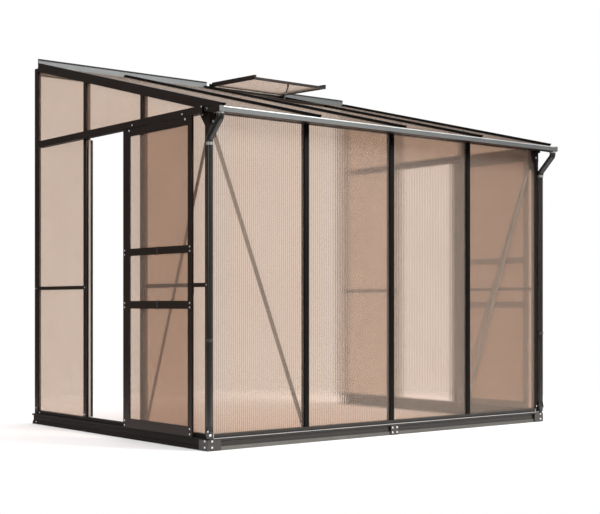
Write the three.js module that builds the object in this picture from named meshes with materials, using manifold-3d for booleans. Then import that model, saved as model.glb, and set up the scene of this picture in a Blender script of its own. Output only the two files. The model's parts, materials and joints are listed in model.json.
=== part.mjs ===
// Lean-to greenhouse with a sliding door in each end, an opening roof vent, a gutter and two downpipes.
// Lengths are in millimetres and angles in degrees.
// x runs along the front, y from the front to the house wall, z up.
// A place in a wall is given by how far it lies outside the plane of the wall's sheets, its "out".
import * as THREE from "three";
import { mergeVertices } from "three/addons/utils/BufferGeometryUtils.js";
import Module from "manifold-3d";

const wasm = await Module();
wasm.setup();

// Overall layout
const bayWidth = 620;
const frontBays = 4;
const endBayWidth = 620;
const endBays = 3;
const eavesTop = 1722;
const roofPitch = 14.1;
const length = bayWidth * frontBays;
const depth = endBayWidth * endBays;
const slope = THREE.MathUtils.degToRad(roofPitch);

// Running and seating clearances
const seatGap = 0.3;
const weldBite = 1;
const overrun = 20;

// Glazing sheets and the grooves that hold them
const sheetThickness = 4;
const grooveSide = 0.3;
const grooveDepth = 12;
const edgeGap = 1;
const sheetHalf = sheetThickness / 2;
const grooveHalf = sheetHalf + grooveSide;
const sheetBite = grooveDepth - edgeGap;

// Wall bars: faceOut outside the sheet, faceIn inside it
const barWidth = 30;
const faceOut = 12;
const faceIn = 18;
const barHalf = barWidth / 2;

// Posts
const postFrontReach = 12.5;
const postEndReach = 23;
const postLugReach = 48;
const postLugHeight = 118;
const postLugThickness = 8;
const rearPostDepth = 42;
const rearPostReach = 9.7;
const rearPostDrop = 13.9;

// Base rail section, as places outside the wall plane and heights
const kickReach = 28;
const kickFlare = 4;
const kickTop = 20;
const recessReach = 20;
const recessRamp = 2;
const lipBottom = 52;
const lipReach = 30;
const lipEase = 2;
const lipTop = 62;
const sillTop = 81;
const baseSheet = 3;

// Eaves rail, roof bars, gable rafters and wall plate
const eavesRailHeight = 32;
const roofBarOut = 17.5;
const roofBarIn = 12;
const rafterIn = 35;
const rafterGrooveDepth = 10;
const noseShare = 0.6;
const tailReach = 104;
const wallPlateDepth = 42;
const wallPlateDrop = 72;
const wallPlateSheet = 3;
const upstandHeight = 32;
const upstandDepth = 10;
const upstandLap = 18;
const upstandGap = 10;
const ledgeHeight = 29;

// Girts of the end walls, one on each end bar
const girtBottom = 819;
const girtHeight = 21;

// Diagonal braces
const braceWidth = 24;
const braceThickness = 3;
const braceInset = 34;
const braceHead = 78;
const braceFoot = 84;

// Gutter
const gutterReach = 141;
const gutterTop = 1706;
const gutterDepth = 27;
const gutterFloor = 59;
const gutterRise = 16;
const gutterShelf = 28;
const gutterFlange = 20;
const gutterSheet = 2.7;
const gutterOverhang = 40;

// Downpipes
const pipeOut = 19;
const pipeFront = 25;
const outletFront = 120;
const elbowRadius = 18;
const pipeRadius = 14.3;
const bendRadius = 26;
const elbowDrop = 2;
const collarRadius = 18;
const collarHeight = 20;
const shoeTop = 112;
const shoeWide = 98;
const shoeRadius = 20;
const shoeEndRadius = 12;
const outletBore = 13;
const outletBoreDepth = 40;
const pipeSides = 20;
const bendSteps = 3;

// Door track over each end wall
const trackSheet = 2;
const trackReach = 46;
const trackHeight = 39;
const trackLip = 8;
const trackSlot = 7;
const trackEndGap = 105;

// Door leaves
const doorWidth = 664;
const doorInner = 33;
const doorThickness = 12;
const doorFront = 93;
const doorFoot = 64;
const doorHeadGap = 2;
const stileWidth = 36;
const rearStileWidth = 62;
const headRailHeight = 41;
const footRailHeight = 50;
const lowerRailBottom = 709;
const lowerRailHeight = 41;
const upperRailBottom = 993;
const upperRailHeight = 39;
const doorGrooveDepth = 10;
const pullReach = 7;
const pullBottom = 782;
const pullHeight = 35;
const pullInset = 3;

// Door rollers and their hangers
const rollerRadius = 13;
const rollerWidth = 8.4;
const rollerEase = 1;
const axleRadius = 4;
const axleGap = 0.1;
const hangerInset = 55;
const hangerWidth = 24;
const hangerThickness = 2.4;
const hangerCrown = 10;
const rollerSides = 20;

// Roof vent, in its own frame: along runs from the hinge line to the rear, up is square to the lid
const ventBay = 3;
const ventReach = 480;
const ventLap = 5;
const ventOpening = 12.3;
const hingeSetback = 53;
const hingeRise = 8.5;
const lidUnder = 8.2;
const lidSideWidth = 14;
const lidSideTop = 18.8;
const lidFrontWidth = 22;
const lidFrontTop = 5.8;
const lidRearWidth = 24;
const lidRearTop = 9;
const lidGrooveDepth = 9;
const lidEdgeGap = 1;
const lidSillGap = 3;
const hingePinRadius = 4;
const hingePinLength = 12;
const hingeBlockWidth = 12;
const hingeBlockHalf = 12;
const hingeBlockCrown = 9;
const hingeSideGap = 1.5;

// Vent stay, its ear on the lid and its peg on the crossbar
const stayLean = 28;
const stayLength = 250;
const stayWidth = 14;
const stayThickness = 3;
const stayHoleRadius = 3.3;
const stayHolePitch = 35;
const stayPegHole = 3;
const stayFirstHole = 2;
const stayLastHole = 7;
const stayPivotBack = 6.5;
const stayPivotDrop = 18;
const earThickness = 3;
const earHalf = 5.8;
const earUnder = 6;
const earRoot = 6;
const earSheetGap = 1.2;
const pegRadius = 3;
const pegArmWidth = 12;
const pegArmThickness = 3;
const pegStub = 2.2;
const pegSides = 16;

// Finishes
const finishes = {
  frame: { color: 0x2c2a2b, roughness: 0.45, metalness: 0.55 },
  trim: { color: 0xb9bab8, roughness: 0.4, metalness: 0.7 },
  sheet: { color: 0xd9cbbd, roughness: 0.2, metalness: 0, transparent: true, opacity: 0.4 },
  pipe: { color: 0x4a4a4c, roughness: 0.4, metalness: 0.5 },
  brace: { color: 0x77756f, roughness: 0.5, metalness: 0.8 },
  roller: { color: 0x1b1b1c, roughness: 0.6, metalness: 0 },
};

// Heights and lines worked out from the sizes above
const eavesBottom = eavesTop - eavesRailHeight;
const endSheetStart = faceIn + seatGap;
const roofZero = eavesTop + seatGap + roofBarIn / Math.cos(slope) + faceOut * Math.tan(slope);
const plateFront = depth - wallPlateDepth;
const plateTop = roofHeight(plateFront, roofBarOut);
const plateBottom = plateTop - wallPlateDrop;
const trackTop = eavesTop;
const trackBottom = trackTop - trackHeight;
const trackFloor = trackBottom + trackSheet;
const gutterBottom = gutterTop - gutterDepth;
const gutterFold = gutterFloor - gutterReach;
const gutterShelfFront = -faceOut - gutterShelf;
const gutterShelfBottom = gutterBottom + gutterRise;
const gutterClear = [gutterSheet - gutterOverhang, length + gutterOverhang - gutterSheet];
const axleHeight = trackFloor + rollerRadius + seatGap;
const doorHead = trackBottom - doorHeadGap;
const doorOuter = doorInner + doorThickness;
const doorMiddle = doorInner + doorThickness / 2;
const ventLeft = bayWidth * (ventBay - 1) + barHalf - ventLap;
const ventRight = bayWidth * ventBay - barHalf + ventLap;
const hinge = roofPlaceAt(plateFront - hingeSetback, roofBarOut + hingeRise);
const lidAngle = slope - THREE.MathUtils.degToRad(ventOpening);
const crossbarRear = hinge.along - ventReach + lidFrontWidth - lidSillGap;
const stayX = (ventLeft + ventRight) / 2;
const stayPivot = {
  along: -(ventReach - lidFrontWidth - stayPivotBack),
  up: -stayPivotDrop,
};
const stayTop = lidToWorld(stayPivot.along, stayPivot.up);
const stayDirection = {
  y: Math.sin(THREE.MathUtils.degToRad(stayLean)),
  z: -Math.cos(THREE.MathUtils.degToRad(stayLean)),
};
const peg = {
  y: stayTop.y + stayHolePitch * stayPegHole * stayDirection.y,
  z: stayTop.z + stayHolePitch * stayPegHole * stayDirection.z,
};

/** Height of a line that lies `up` above the plane of the roof sheets, square to it, at the depth y. */
function roofHeight(y, up) {
  return roofZero + y * Math.tan(slope) + up / Math.cos(slope);
}

/** Place, along the slope and above the roof's sheets, of the point at depth y and `up` above them. */
function roofPlaceAt(y, up) {
  return { along: (y + up * Math.sin(slope)) / Math.cos(slope), up, y, z: roofHeight(y, up) };
}

/** The same place for a point given by its depth and its height. */
function roofPlaceOf(y, z) {
  const rise = z - roofZero;
  return {
    along: y * Math.cos(slope) + rise * Math.sin(slope),
    up: rise * Math.cos(slope) - y * Math.sin(slope),
  };
}

/** Depth and height of a point of the lid's own frame, with the lid as it stands at rest. */
function lidToWorld(along, up) {
  return {
    y: hinge.y + along * Math.cos(lidAngle) - up * Math.sin(lidAngle),
    z: hinge.z + along * Math.sin(lidAngle) + up * Math.cos(lidAngle),
  };
}

// Prisms and other basic solids

const alongX = new THREE.Matrix4().set(0, 0, 1, 0, 1, 0, 0, 0, 0, 1, 0, 0, 0, 0, 0, 1);
const alongY = new THREE.Matrix4().set(1, 0, 0, 0, 0, 0, -1, 0, 0, 1, 0, 0, 0, 0, 0, 1);

/** A closed prism whose outline, and holes, are pushed along the third axis and then turned by `turn`. */
function prism(outline, holes, span, turn) {
  const shape = new THREE.Shape(outline.map(([a, b]) => new THREE.Vector2(a, b)));
  for (const hole of holes) {
    shape.holes.push(new THREE.Path(hole.map(([a, b]) => new THREE.Vector2(a, b))));
  }
  const geometry = new THREE.ExtrudeGeometry(shape, { depth: span[1] - span[0], bevelEnabled: false });
  geometry.translate(0, 0, span[0]);
  return turn ? geometry.applyMatrix4(turn) : geometry;
}

/** Prism along x of an outline in y and z. */
function prismX(outline, span, holes = []) {
  return prism(outline, holes, span, alongX);
}

/** Prism along y of an outline in x and z. */
function prismY(outline, span) {
  return prism(outline, [], [-span[1], -span[0]], alongY);
}

/** Prism along z of an outline in x and y. */
function prismZ(outline, span) {
  return prism(outline, [], span);
}

/** Box between two places on each axis, given in any order. */
function box(xSpan, ySpan, zSpan) {
  const sizes = [xSpan, ySpan, zSpan].map(([a, b]) => Math.abs(b - a));
  const middles = [xSpan, ySpan, zSpan].map(([a, b]) => (a + b) / 2);
  return new THREE.BoxGeometry(...sizes).translate(...middles);
}

/** Round rod along x. */
function rodX(radius, xSpan, y, z, sides) {
  const rod = new THREE.CylinderGeometry(radius, radius, Math.abs(xSpan[1] - xSpan[0]), sides);
  return rod.rotateZ(Math.PI / 2).translate((xSpan[0] + xSpan[1]) / 2, y, z);
}

/** Outline of a flat strap with half-round ends, between two points. */
function strapOutline(from, to, width, arcSteps) {
  const heading = Math.atan2(to[1] - from[1], to[0] - from[0]);
  const points = [];
  for (const [end, turn] of [[to, -1], [from, 1]]) {
    for (let step = 0; step <= arcSteps; step += 1) {
      const angle = heading + (turn * Math.PI) / 2 + (step / arcSteps) * Math.PI;
      points.push([end[0] + (Math.cos(angle) * width) / 2, end[1] + (Math.sin(angle) * width) / 2]);
    }
  }
  return points;
}

/** Circle as a list of points. */
function circleOutline(centre, radius, sides) {
  return Array.from({ length: sides }, (_, side) => {
    const angle = (side / sides) * 2 * Math.PI;
    return [centre[0] + radius * Math.cos(angle), centre[1] + radius * Math.sin(angle)];
  });
}

/** Slants the ends of a prism: each end's corners move along it by a share of their place across it. */
function slantEnds(geometry, along, across, startShare, endShare) {
  const axes = ["x", "y", "z"];
  const position = geometry.getAttribute("position");
  geometry.computeBoundingBox();
  const middle = (geometry.boundingBox.min[along] + geometry.boundingBox.max[along]) / 2;
  for (let i = 0; i < position.count; i += 1) {
    const here = position.getComponent(i, axes.indexOf(along));
    const aside = position.getComponent(i, axes.indexOf(across));
    position.setComponent(i, axes.indexOf(along), here + (here < middle ? startShare : endShare) * aside);
  }
  return geometry;
}

/** A geometry as a solid that can be joined and cut. */
function solid(geometry) {
  const bare = geometry.clone();
  bare.deleteAttribute("normal");
  bare.deleteAttribute("uv");
  const merged = mergeVertices(bare);
  return new wasm.Manifold(
    new wasm.Mesh({
      numProp: 3,
      vertProperties: new Float32Array(merged.getAttribute("position").array),
      triVerts: new Uint32Array(merged.index.array),
    }),
  );
}

/** Joins the first list of geometries and cuts the second list out of them. */
function combine(joined, cuts = []) {
  const whole = joined.map(solid).reduce((sum, next) => sum.add(next));
  const mesh = cuts.map(solid).reduce((rest, next) => rest.subtract(next), whole).getMesh();
  const geometry = new THREE.BufferGeometry();
  geometry.setAttribute("position", new THREE.BufferAttribute(mesh.vertProperties, 3));
  geometry.setIndex(new THREE.BufferAttribute(mesh.triVerts, 1));
  geometry.computeVertexNormals();
  return geometry;
}

// Places in the two end walls: side is -1 at the left end and 1 at the right end

/** x of a place `out` outside the sheets of an end wall. */
function endX(side, out) {
  return side < 0 ? -out : length + out;
}

/** The span in x between two places given by how far out they lie. */
function endSpan(side, outA, outB) {
  const pair = [endX(side, outA), endX(side, outB)];
  return pair.sort((a, b) => a - b);
}

// Base

/** Section of the base rail: places outside the wall plane, and heights. */
const baseSection = [
  [kickReach, 0],
  [kickReach - kickFlare, kickTop],
  [recessReach, kickTop + recessRamp],
  [recessReach, lipBottom - recessRamp],
  [lipReach, lipBottom],
  [lipReach, lipTop - lipEase],
  [lipReach - lipEase, lipTop],
  [faceOut, lipTop],
  [faceOut, sillTop],
  [grooveHalf, sillTop],
  [grooveHalf, sillTop - grooveDepth],
  [-grooveHalf, sillTop - grooveDepth],
  [-grooveHalf, sillTop],
  [-faceIn, sillTop],
  [-faceIn, lipTop - baseSheet],
  [recessReach - baseSheet, lipTop - baseSheet],
  [recessReach - baseSheet, baseSheet],
  [-faceIn, baseSheet],
  [-faceIn, 0],
];

/** Front base rail, mitred at both corners. */
function frontBase() {
  const outline = baseSection.map(([out, z]) => [-out, z]);
  return slantEnds(prismX(outline, [0, length]), "x", "y", 1, -1);
}

/** End base rail, mitred at the front corner and square at the house wall. */
function endBase(side) {
  const outline = baseSection.map(([out, z]) => [endX(side, out), z]);
  const rail = prismY(outline, [seatGap, depth]);
  const mitre = slantEnds(rail.translate(-endX(side, 0), 0, 0), "y", "x", -side, 0);
  return mitre.translate(endX(side, 0), 0, 0);
}

// Posts and wall bars

/** Corner post with a groove for each wall's sheet, and two lugs inside its head that carry the braces. */
function frontPost(side) {
  const outline = [
    [faceOut, -faceOut],
    [-postFrontReach, -faceOut],
    [-postFrontReach, -grooveHalf],
    [grooveDepth - postFrontReach, -grooveHalf],
    [grooveDepth - postFrontReach, grooveHalf],
    [-postFrontReach, grooveHalf],
    [-postFrontReach, postEndReach],
    [-grooveHalf, postEndReach],
    [-grooveHalf, endSheetStart - edgeGap],
    [grooveHalf, endSheetStart - edgeGap],
    [grooveHalf, postEndReach],
    [faceOut, postEndReach],
  ];
  const stem = prismZ(outline.map(([out, y]) => [endX(side, out), y]), [sillTop, eavesBottom]);
  const lugSpan = [eavesBottom - postLugHeight, eavesBottom];
  const frontLug = box(
    endSpan(side, weldBite - postFrontReach, -postLugReach),
    [faceIn - postLugThickness, faceIn],
    lugSpan,
  );
  const endLug = box(
    endSpan(side, postLugThickness - faceIn, -faceIn),
    [postEndReach - weldBite, postLugReach],
    lugSpan,
  );
  return combine([stem, frontLug, endLug]);
}

/** Rear post against the house wall. */
function rearPost(side) {
  const front = depth - rearPostDepth;
  const outline = [
    [faceOut, front],
    [grooveHalf, front],
    [grooveHalf, front + grooveDepth],
    [-grooveHalf, front + grooveDepth],
    [-grooveHalf, front],
    [-rearPostReach, front],
    [-rearPostReach, depth],
    [faceOut, depth],
  ];
  const top = roofHeight(front, -rearPostDrop);
  return prismZ(outline.map(([out, y]) => [endX(side, out), y]), [sillTop, top]);
}

/** Section of a glazing bar with a groove on each side: places across it, and places outside the sheets. */
function barSection(out, inside) {
  const web = barHalf - grooveDepth;
  return [
    [-barHalf, out],
    [-barHalf, grooveHalf],
    [-web, grooveHalf],
    [-web, -grooveHalf],
    [-barHalf, -grooveHalf],
    [-barHalf, -inside],
    [barHalf, -inside],
    [barHalf, -grooveHalf],
    [web, -grooveHalf],
    [web, grooveHalf],
    [barHalf, grooveHalf],
    [barHalf, out],
  ];
}

/** Front glazing bar between two bays. */
function frontBar(index) {
  const outline = barSection(faceOut, faceIn).map(([across, out]) => [bayWidth * index + across, -out]);
  return prismZ(outline, [sillTop, eavesBottom]);
}

/** End-wall glazing bar, cut to the slope under the rafter, with its girt to the nearest post. */
function endBar(side, index) {
  const middle = endBayWidth * index;
  const outline = barSection(faceOut, faceIn).map(([across, out]) => [endX(side, out), middle + across]);
  const bar = prismZ(outline, [sillTop, roofHeight(0, -rafterIn - seatGap)]);
  const girtSpan =
    index === 1
      ? [postEndReach + seatGap, middle - barHalf + weldBite]
      : [middle + barHalf - weldBite, depth - rearPostDepth - seatGap];
  const girt = box(endSpan(side, grooveHalf, faceOut), girtSpan, [girtBottom, girtBottom + girtHeight]);
  return combine([slantEnds(bar, "z", "y", 0, Math.tan(slope)), girt]);
}

/** Eaves rail over the front wall, with its top on the slope of the roof. */
function eavesRail() {
  const groove = eavesBottom + grooveDepth;
  const outline = [
    [-faceOut, eavesBottom],
    [-faceOut, eavesTop],
    [faceIn, eavesTop + (faceOut + faceIn) * Math.tan(slope)],
    [faceIn, eavesBottom],
    [grooveHalf, eavesBottom],
    [grooveHalf, groove],
    [-grooveHalf, groove],
    [-grooveHalf, eavesBottom],
  ];
  return prismX(outline, [-faceOut, length + faceOut]);
}

/** Outline of a diagonal brace, from near the head of the corner post to the foot of the first bar. */
function braceOutline(bay) {
  return strapOutline([braceInset, eavesBottom - braceHead], [bay, braceFoot], braceWidth, bendSteps * 2);
}

/** Diagonal brace inside the front wall. */
function frontBrace(side) {
  const outline = braceOutline(bayWidth).map(([x, z]) => [endX(side, -x), z]);
  return prismY(outline, [faceIn + seatGap, faceIn + seatGap + braceThickness]);
}

/** Diagonal brace inside an end wall. */
function endBrace(side) {
  const seat = -faceIn - seatGap;
  return prismX(braceOutline(endBayWidth), endSpan(side, seat, seat - braceThickness));
}

// Glazing sheets of the walls

/** Front sheet of one bay; the first and last reach into the corner posts. */
function frontSheet(index) {
  const postEdge = postFrontReach - sheetBite;
  const barEdge = barHalf - sheetBite;
  const left = index === 0 ? postEdge : bayWidth * index + barEdge;
  const right = index === frontBays - 1 ? length - postEdge : bayWidth * (index + 1) - barEdge;
  return box([left, right], [-sheetHalf, sheetHalf], [sillTop - sheetBite, eavesBottom + sheetBite]);
}

/** End sheet with its head on the slope, in the groove under the rafter. */
function endSheet(side, ySpan, bottom) {
  const head = -rafterIn + rafterGrooveDepth - edgeGap;
  const outline = [
    [ySpan[0], bottom],
    [ySpan[1], bottom],
    [ySpan[1], roofHeight(ySpan[1], head)],
    [ySpan[0], roofHeight(ySpan[0], head)],
  ];
  return prismX(outline, endSpan(side, -sheetHalf, sheetHalf));
}

// Roof, in its own frame: along is the distance up the slope, up is square to the sheets

/** Gable rafter: deep behind the eaves rail, shallow over it, with grooves for the roof and gable sheets. */
function rafter(side) {
  const outline = [
    [faceOut, roofBarOut],
    [-faceIn, roofBarOut],
    [-faceIn, grooveHalf],
    [-faceIn + rafterGrooveDepth, grooveHalf],
    [-faceIn + rafterGrooveDepth, -grooveHalf],
    [-faceIn, -grooveHalf],
    [-faceIn, -rafterIn],
    [-grooveHalf, -rafterIn],
    [-grooveHalf, -rafterIn + rafterGrooveDepth],
    [grooveHalf, -rafterIn + rafterGrooveDepth],
    [grooveHalf, -rafterIn],
    [faceOut, -rafterIn],
  ];
  const beam = prismY(outline.map(([out, up]) => [endX(side, out), up]), roofBarSpan());
  const heel = (faceIn + seatGap) / Math.cos(slope);
  const notch = [
    [-tailReach - overrun, -roofBarIn],
    [heel - roofBarIn * Math.tan(slope), -roofBarIn],
    [heel - (rafterIn + overrun) * Math.tan(slope), -rafterIn - overrun],
    [-tailReach - overrun, -rafterIn - overrun],
  ];
  return combine([slantRoofEnds(beam)], [prismX(notch, endSpan(side, faceOut + overrun, -faceIn - overrun))]);
}

/** Where roof bars start and end along the slope, on the line of the sheets. */
function roofBarSpan() {
  return [-tailReach / Math.cos(slope), (plateFront - seatGap) / Math.cos(slope)];
}

/** Cuts the rear ends upright, against the wall plate, and slants the front ends back. */
function slantRoofEnds(geometry) {
  return slantEnds(geometry, "y", "z", -noseShare, Math.tan(slope));
}

/** Roof glazing bar between two bays. */
function roofBar(index) {
  const outline = barSection(roofBarOut, roofBarIn).map(([across, up]) => [bayWidth * index + across, up]);
  return slantRoofEnds(prismY(outline, roofBarSpan()));
}

/** Roof bar beside the vent, with the hinge block on its back; toVent is the side that the lid lies on. */
function ventBar(index, lidEdge, toVent) {
  const blockSpan = [lidEdge - toVent * hingeSideGap, lidEdge - toVent * (hingeSideGap + hingeBlockWidth)];
  const block = box(
    blockSpan,
    [hinge.along - hingeBlockHalf, hinge.along + hingeBlockHalf],
    [roofBarOut - weldBite, hinge.up + hingeBlockCrown],
  );
  const boreSpan = [blockSpan[0] + toVent * overrun, blockSpan[1] - toVent * overrun];
  const bore = rodX(hingePinRadius + axleGap, boreSpan, hinge.along, hinge.up, pegSides);
  return combine([roofBar(index), block], [bore]);
}

/** Roof sheet of one bay; the one in the vent's bay ends in the crossbar. */
function roofSheet(index) {
  const rafterEdge = faceIn - rafterGrooveDepth + edgeGap;
  const barEdge = barHalf - sheetBite;
  const left = index === 0 ? rafterEdge : bayWidth * index + barEdge;
  const right = index === frontBays - 1 ? length - rafterEdge : bayWidth * (index + 1) - barEdge;
  const start = roofBarSpan()[0];
  if (index === ventBay - 1) {
    return box([left, right], [start, crossbarRear - barWidth + sheetBite], [-sheetHalf, sheetHalf]);
  }
  const outline = [
    [left, -sheetHalf],
    [right, -sheetHalf],
    [right, sheetHalf],
    [left, sheetHalf],
  ];
  return slantEnds(prismY(outline, [start, roofBarSpan()[1] - edgeGap]), "y", "z", 0, Math.tan(slope));
}

/** Crossbar in front of the vent, with the arm and peg that the stay hooks over. */
function ventCrossbar() {
  const front = crossbarRear - barWidth;
  const outline = [
    [front, roofBarOut],
    [crossbarRear, roofBarOut],
    [crossbarRear, -roofBarIn],
    [front, -roofBarIn],
    [front, -grooveHalf],
    [front + grooveDepth, -grooveHalf],
    [front + grooveDepth, grooveHalf],
    [front, grooveHalf],
  ];
  const span = [bayWidth * (ventBay - 1) + barHalf + seatGap, bayWidth * ventBay - barHalf - seatGap];
  const armStart = stayX + stayThickness / 2 + seatGap + pegStub;
  const pegPlace = roofPlaceOf(peg.y, peg.z);
  const pegPoint = [pegPlace.along, pegPlace.up];
  const root = [crossbarRear - barHalf / 2, 0];
  const armOutline = strapOutline(root, pegPoint, pegArmWidth, bendSteps * 2);
  const arm = prismX(armOutline, [armStart, armStart + pegArmThickness]);
  const stub = rodX(pegRadius, [armStart - pegStub, armStart + weldBite], ...pegPoint, pegSides);
  return combine([prismX(outline, span), arm, stub]);
}

/** Wall plate: an inverted channel, a ledge under the lid's rear edge, and an upstand in two lengths. */
function wallPlate() {
  const outline = [
    [plateFront, plateBottom],
    [plateFront, plateTop],
    [depth, plateTop],
    [depth, plateBottom],
    [depth - wallPlateSheet, plateBottom],
    [depth - wallPlateSheet, plateTop - wallPlateSheet],
    [plateFront + wallPlateSheet, plateTop - wallPlateSheet],
    [plateFront + wallPlateSheet, plateBottom],
  ];
  const end = rearPostReach + seatGap;
  const rises = [
    [end, ventLeft + upstandLap],
    [ventRight + upstandGap, length + faceOut],
  ].map((span) => box(span, [depth - upstandDepth, depth], [plateTop - weldBite, plateTop + upstandHeight]));
  const ledgeFront = hinge.y + lidUnder + lidSillGap;
  const ledge = [
    [ledgeFront, roofHeight(ledgeFront, roofBarOut)],
    [plateFront + weldBite, plateTop],
    [plateFront + weldBite, plateTop - ledgeHeight],
    [ledgeFront, roofHeight(ledgeFront, roofBarOut) - ledgeHeight],
  ];
  const ledgeSpan = [bayWidth * (ventBay - 1) + barHalf + seatGap, bayWidth * ventBay - barHalf - seatGap];
  return combine([prismX(outline, [end, length - end]), ...rises, prismX(ledge, ledgeSpan)]);
}

// Roof vent, in the lid's own frame with the hinge line at its origin

/** Lid frame: two deep side rails, a low front rail, a rear rail with the hinge pins, and the stay's ear. */
function ventFrame() {
  const front = [-ventReach, lidFrontWidth - ventReach];
  const rear = [-lidRearWidth, 0];
  const sheetEdge = [front[1] - lidGrooveDepth, rear[0] + lidGrooveDepth];
  const inner = [ventLeft + lidSideWidth, ventRight - lidSideWidth];
  const rails = [
    box([ventLeft, inner[0]], [-ventReach, 0], [-lidUnder, lidSideTop]),
    box([inner[1], ventRight], [-ventReach, 0], [-lidUnder, lidSideTop]),
    box([ventLeft, ventRight], front, [-lidUnder, lidFrontTop]),
    box([ventLeft, ventRight], rear, [-lidUnder, lidRearTop]),
    rodX(lidUnder, [ventLeft, ventRight], 0, 0, pegSides),
  ];
  const grooveSpan = [inner[0] - lidGrooveDepth, inner[1] + lidGrooveDepth];
  const groove = box(grooveSpan, sheetEdge, [-grooveHalf, grooveHalf]);
  const pins = [
    rodX(hingePinRadius, [ventLeft - hingePinLength, ventLeft + weldBite], 0, 0, pegSides),
    rodX(hingePinRadius, [ventRight - weldBite, ventRight + hingePinLength], 0, 0, pegSides),
  ];
  return combine([...rails, ...pins, stayEar(), stayPin()], [groove]);
}

/** Ear that hangs from the lid's front rail and carries the stay. */
function stayEar() {
  const railRear = lidFrontWidth - ventReach;
  const top = -sheetHalf - earSheetGap;
  const outline = [
    [railRear - earRoot, top],
    [stayPivot.along + earHalf, top],
    [stayPivot.along + earHalf, stayPivot.up - earUnder],
    [stayPivot.along - earHalf, stayPivot.up - earUnder],
    [stayPivot.along - earHalf, -lidUnder],
    [railRear - earRoot, -lidUnder],
  ];
  const face = stayX - stayThickness / 2 - seatGap;
  return prismX(outline, [face - earThickness, face]);
}

/** Pin on the ear, through the top hole of the stay. */
function stayPin() {
  const face = stayX - stayThickness / 2 - seatGap;
  const span = [face - weldBite, stayX + stayThickness / 2];
  return rodX(pegRadius, span, stayPivot.along, stayPivot.up, pegSides);
}

/** Sheet of the lid. */
function ventSheet() {
  const bite = lidGrooveDepth - lidEdgeGap;
  return box(
    [ventLeft + lidSideWidth - bite, ventRight - lidSideWidth + bite],
    [lidFrontWidth - ventReach - bite, bite - lidRearWidth],
    [-sheetHalf, sheetHalf],
  );
}

/** Perforated stay bar, pivoted on the ear and leaning back past its peg. */
function ventStay() {
  const along = (reach) => [stayTop.y + reach * stayDirection.y, stayTop.z + reach * stayDirection.z];
  const holes = [circleOutline(along(0), pegRadius + axleGap, pegSides)];
  for (let hole = stayFirstHole; hole < stayLastHole; hole += 1) {
    holes.push(circleOutline(along(hole * stayHolePitch), stayHoleRadius, pegSides));
  }
  const outline = strapOutline(along(0), along(stayLength), stayWidth, bendSteps * 2);
  return prismX(outline, [stayX - stayThickness / 2, stayX + stayThickness / 2], holes);
}

// Rainwater goods

/** Front wall of the gutter. */
function gutterWall() {
  return box(gutterClear, [-gutterReach, gutterSheet - gutterReach], [gutterBottom, gutterTop]);
}

/** Floor of the gutter, with a drain hole over each downpipe. */
function gutterFloorPlate() {
  const across = [gutterSheet - gutterReach, gutterFold - gutterSheet / 2];
  const plate = box(gutterClear, across, [gutterBottom, gutterBottom + gutterSheet]);
  const drains = [-1, 1].map((side) => drainBore(side, gutterBottom - overrun, gutterTop));
  return combine([plate], drains);
}

/** Back of the gutter: it slopes up from the floor to a shelf and ends in a flange on the eaves rail. */
function gutterBack() {
  const outline = [
    [gutterFold - gutterSheet / 2, gutterBottom],
    [gutterFold, gutterBottom],
    [gutterShelfFront, gutterShelfBottom],
    [-faceOut, gutterShelfBottom],
    [-faceOut, gutterShelfBottom + gutterFlange],
    [-faceOut - gutterSheet, gutterShelfBottom + gutterFlange],
    [-faceOut - gutterSheet, gutterShelfBottom + gutterSheet],
    [gutterShelfFront - gutterSheet / 2, gutterShelfBottom + gutterSheet],
    [gutterFold - gutterSheet / 2, gutterBottom + gutterSheet],
  ];
  return prismX(outline, gutterClear);
}

/** Cap that closes one end of the gutter. */
function gutterCap(side) {
  const outline = [
    [-gutterReach, gutterTop],
    [-gutterReach, gutterBottom],
    [gutterFold, gutterBottom],
    [gutterShelfFront, gutterShelfBottom],
    [-faceOut, gutterShelfBottom],
    [-faceOut, gutterTop],
  ];
  return prismX(outline, endSpan(side, gutterOverhang - gutterSheet, gutterOverhang));
}

/** Upright bore at the outlet of one downpipe. */
function drainBore(side, bottom, top) {
  const bore = new THREE.CylinderGeometry(outletBore, outletBore, top - bottom, pipeSides);
  return bore.rotateX(Math.PI / 2).translate(endX(side, pipeOut), -outletFront, (top + bottom) / 2);
}

/** Stations along a bend in the y-z plane between two headings, which are angles from straight down. */
function bendStations(corner, headings, radius) {
  const turn = headings[1] - headings[0];
  const reach = radius * Math.abs(Math.tan(turn / 2));
  const start = [corner[0] - reach * Math.sin(headings[0]), corner[1] + reach * Math.cos(headings[0])];
  const way = Math.sign(turn);
  return Array.from({ length: bendSteps + 1 }, (_, step) => {
    const heading = headings[0] + (turn * step) / bendSteps;
    return {
      y: start[0] + way * radius * (Math.cos(headings[0]) - Math.cos(heading)),
      z: start[1] - way * radius * (Math.sin(heading) - Math.sin(headings[0])),
      heading,
    };
  });
}

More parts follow.
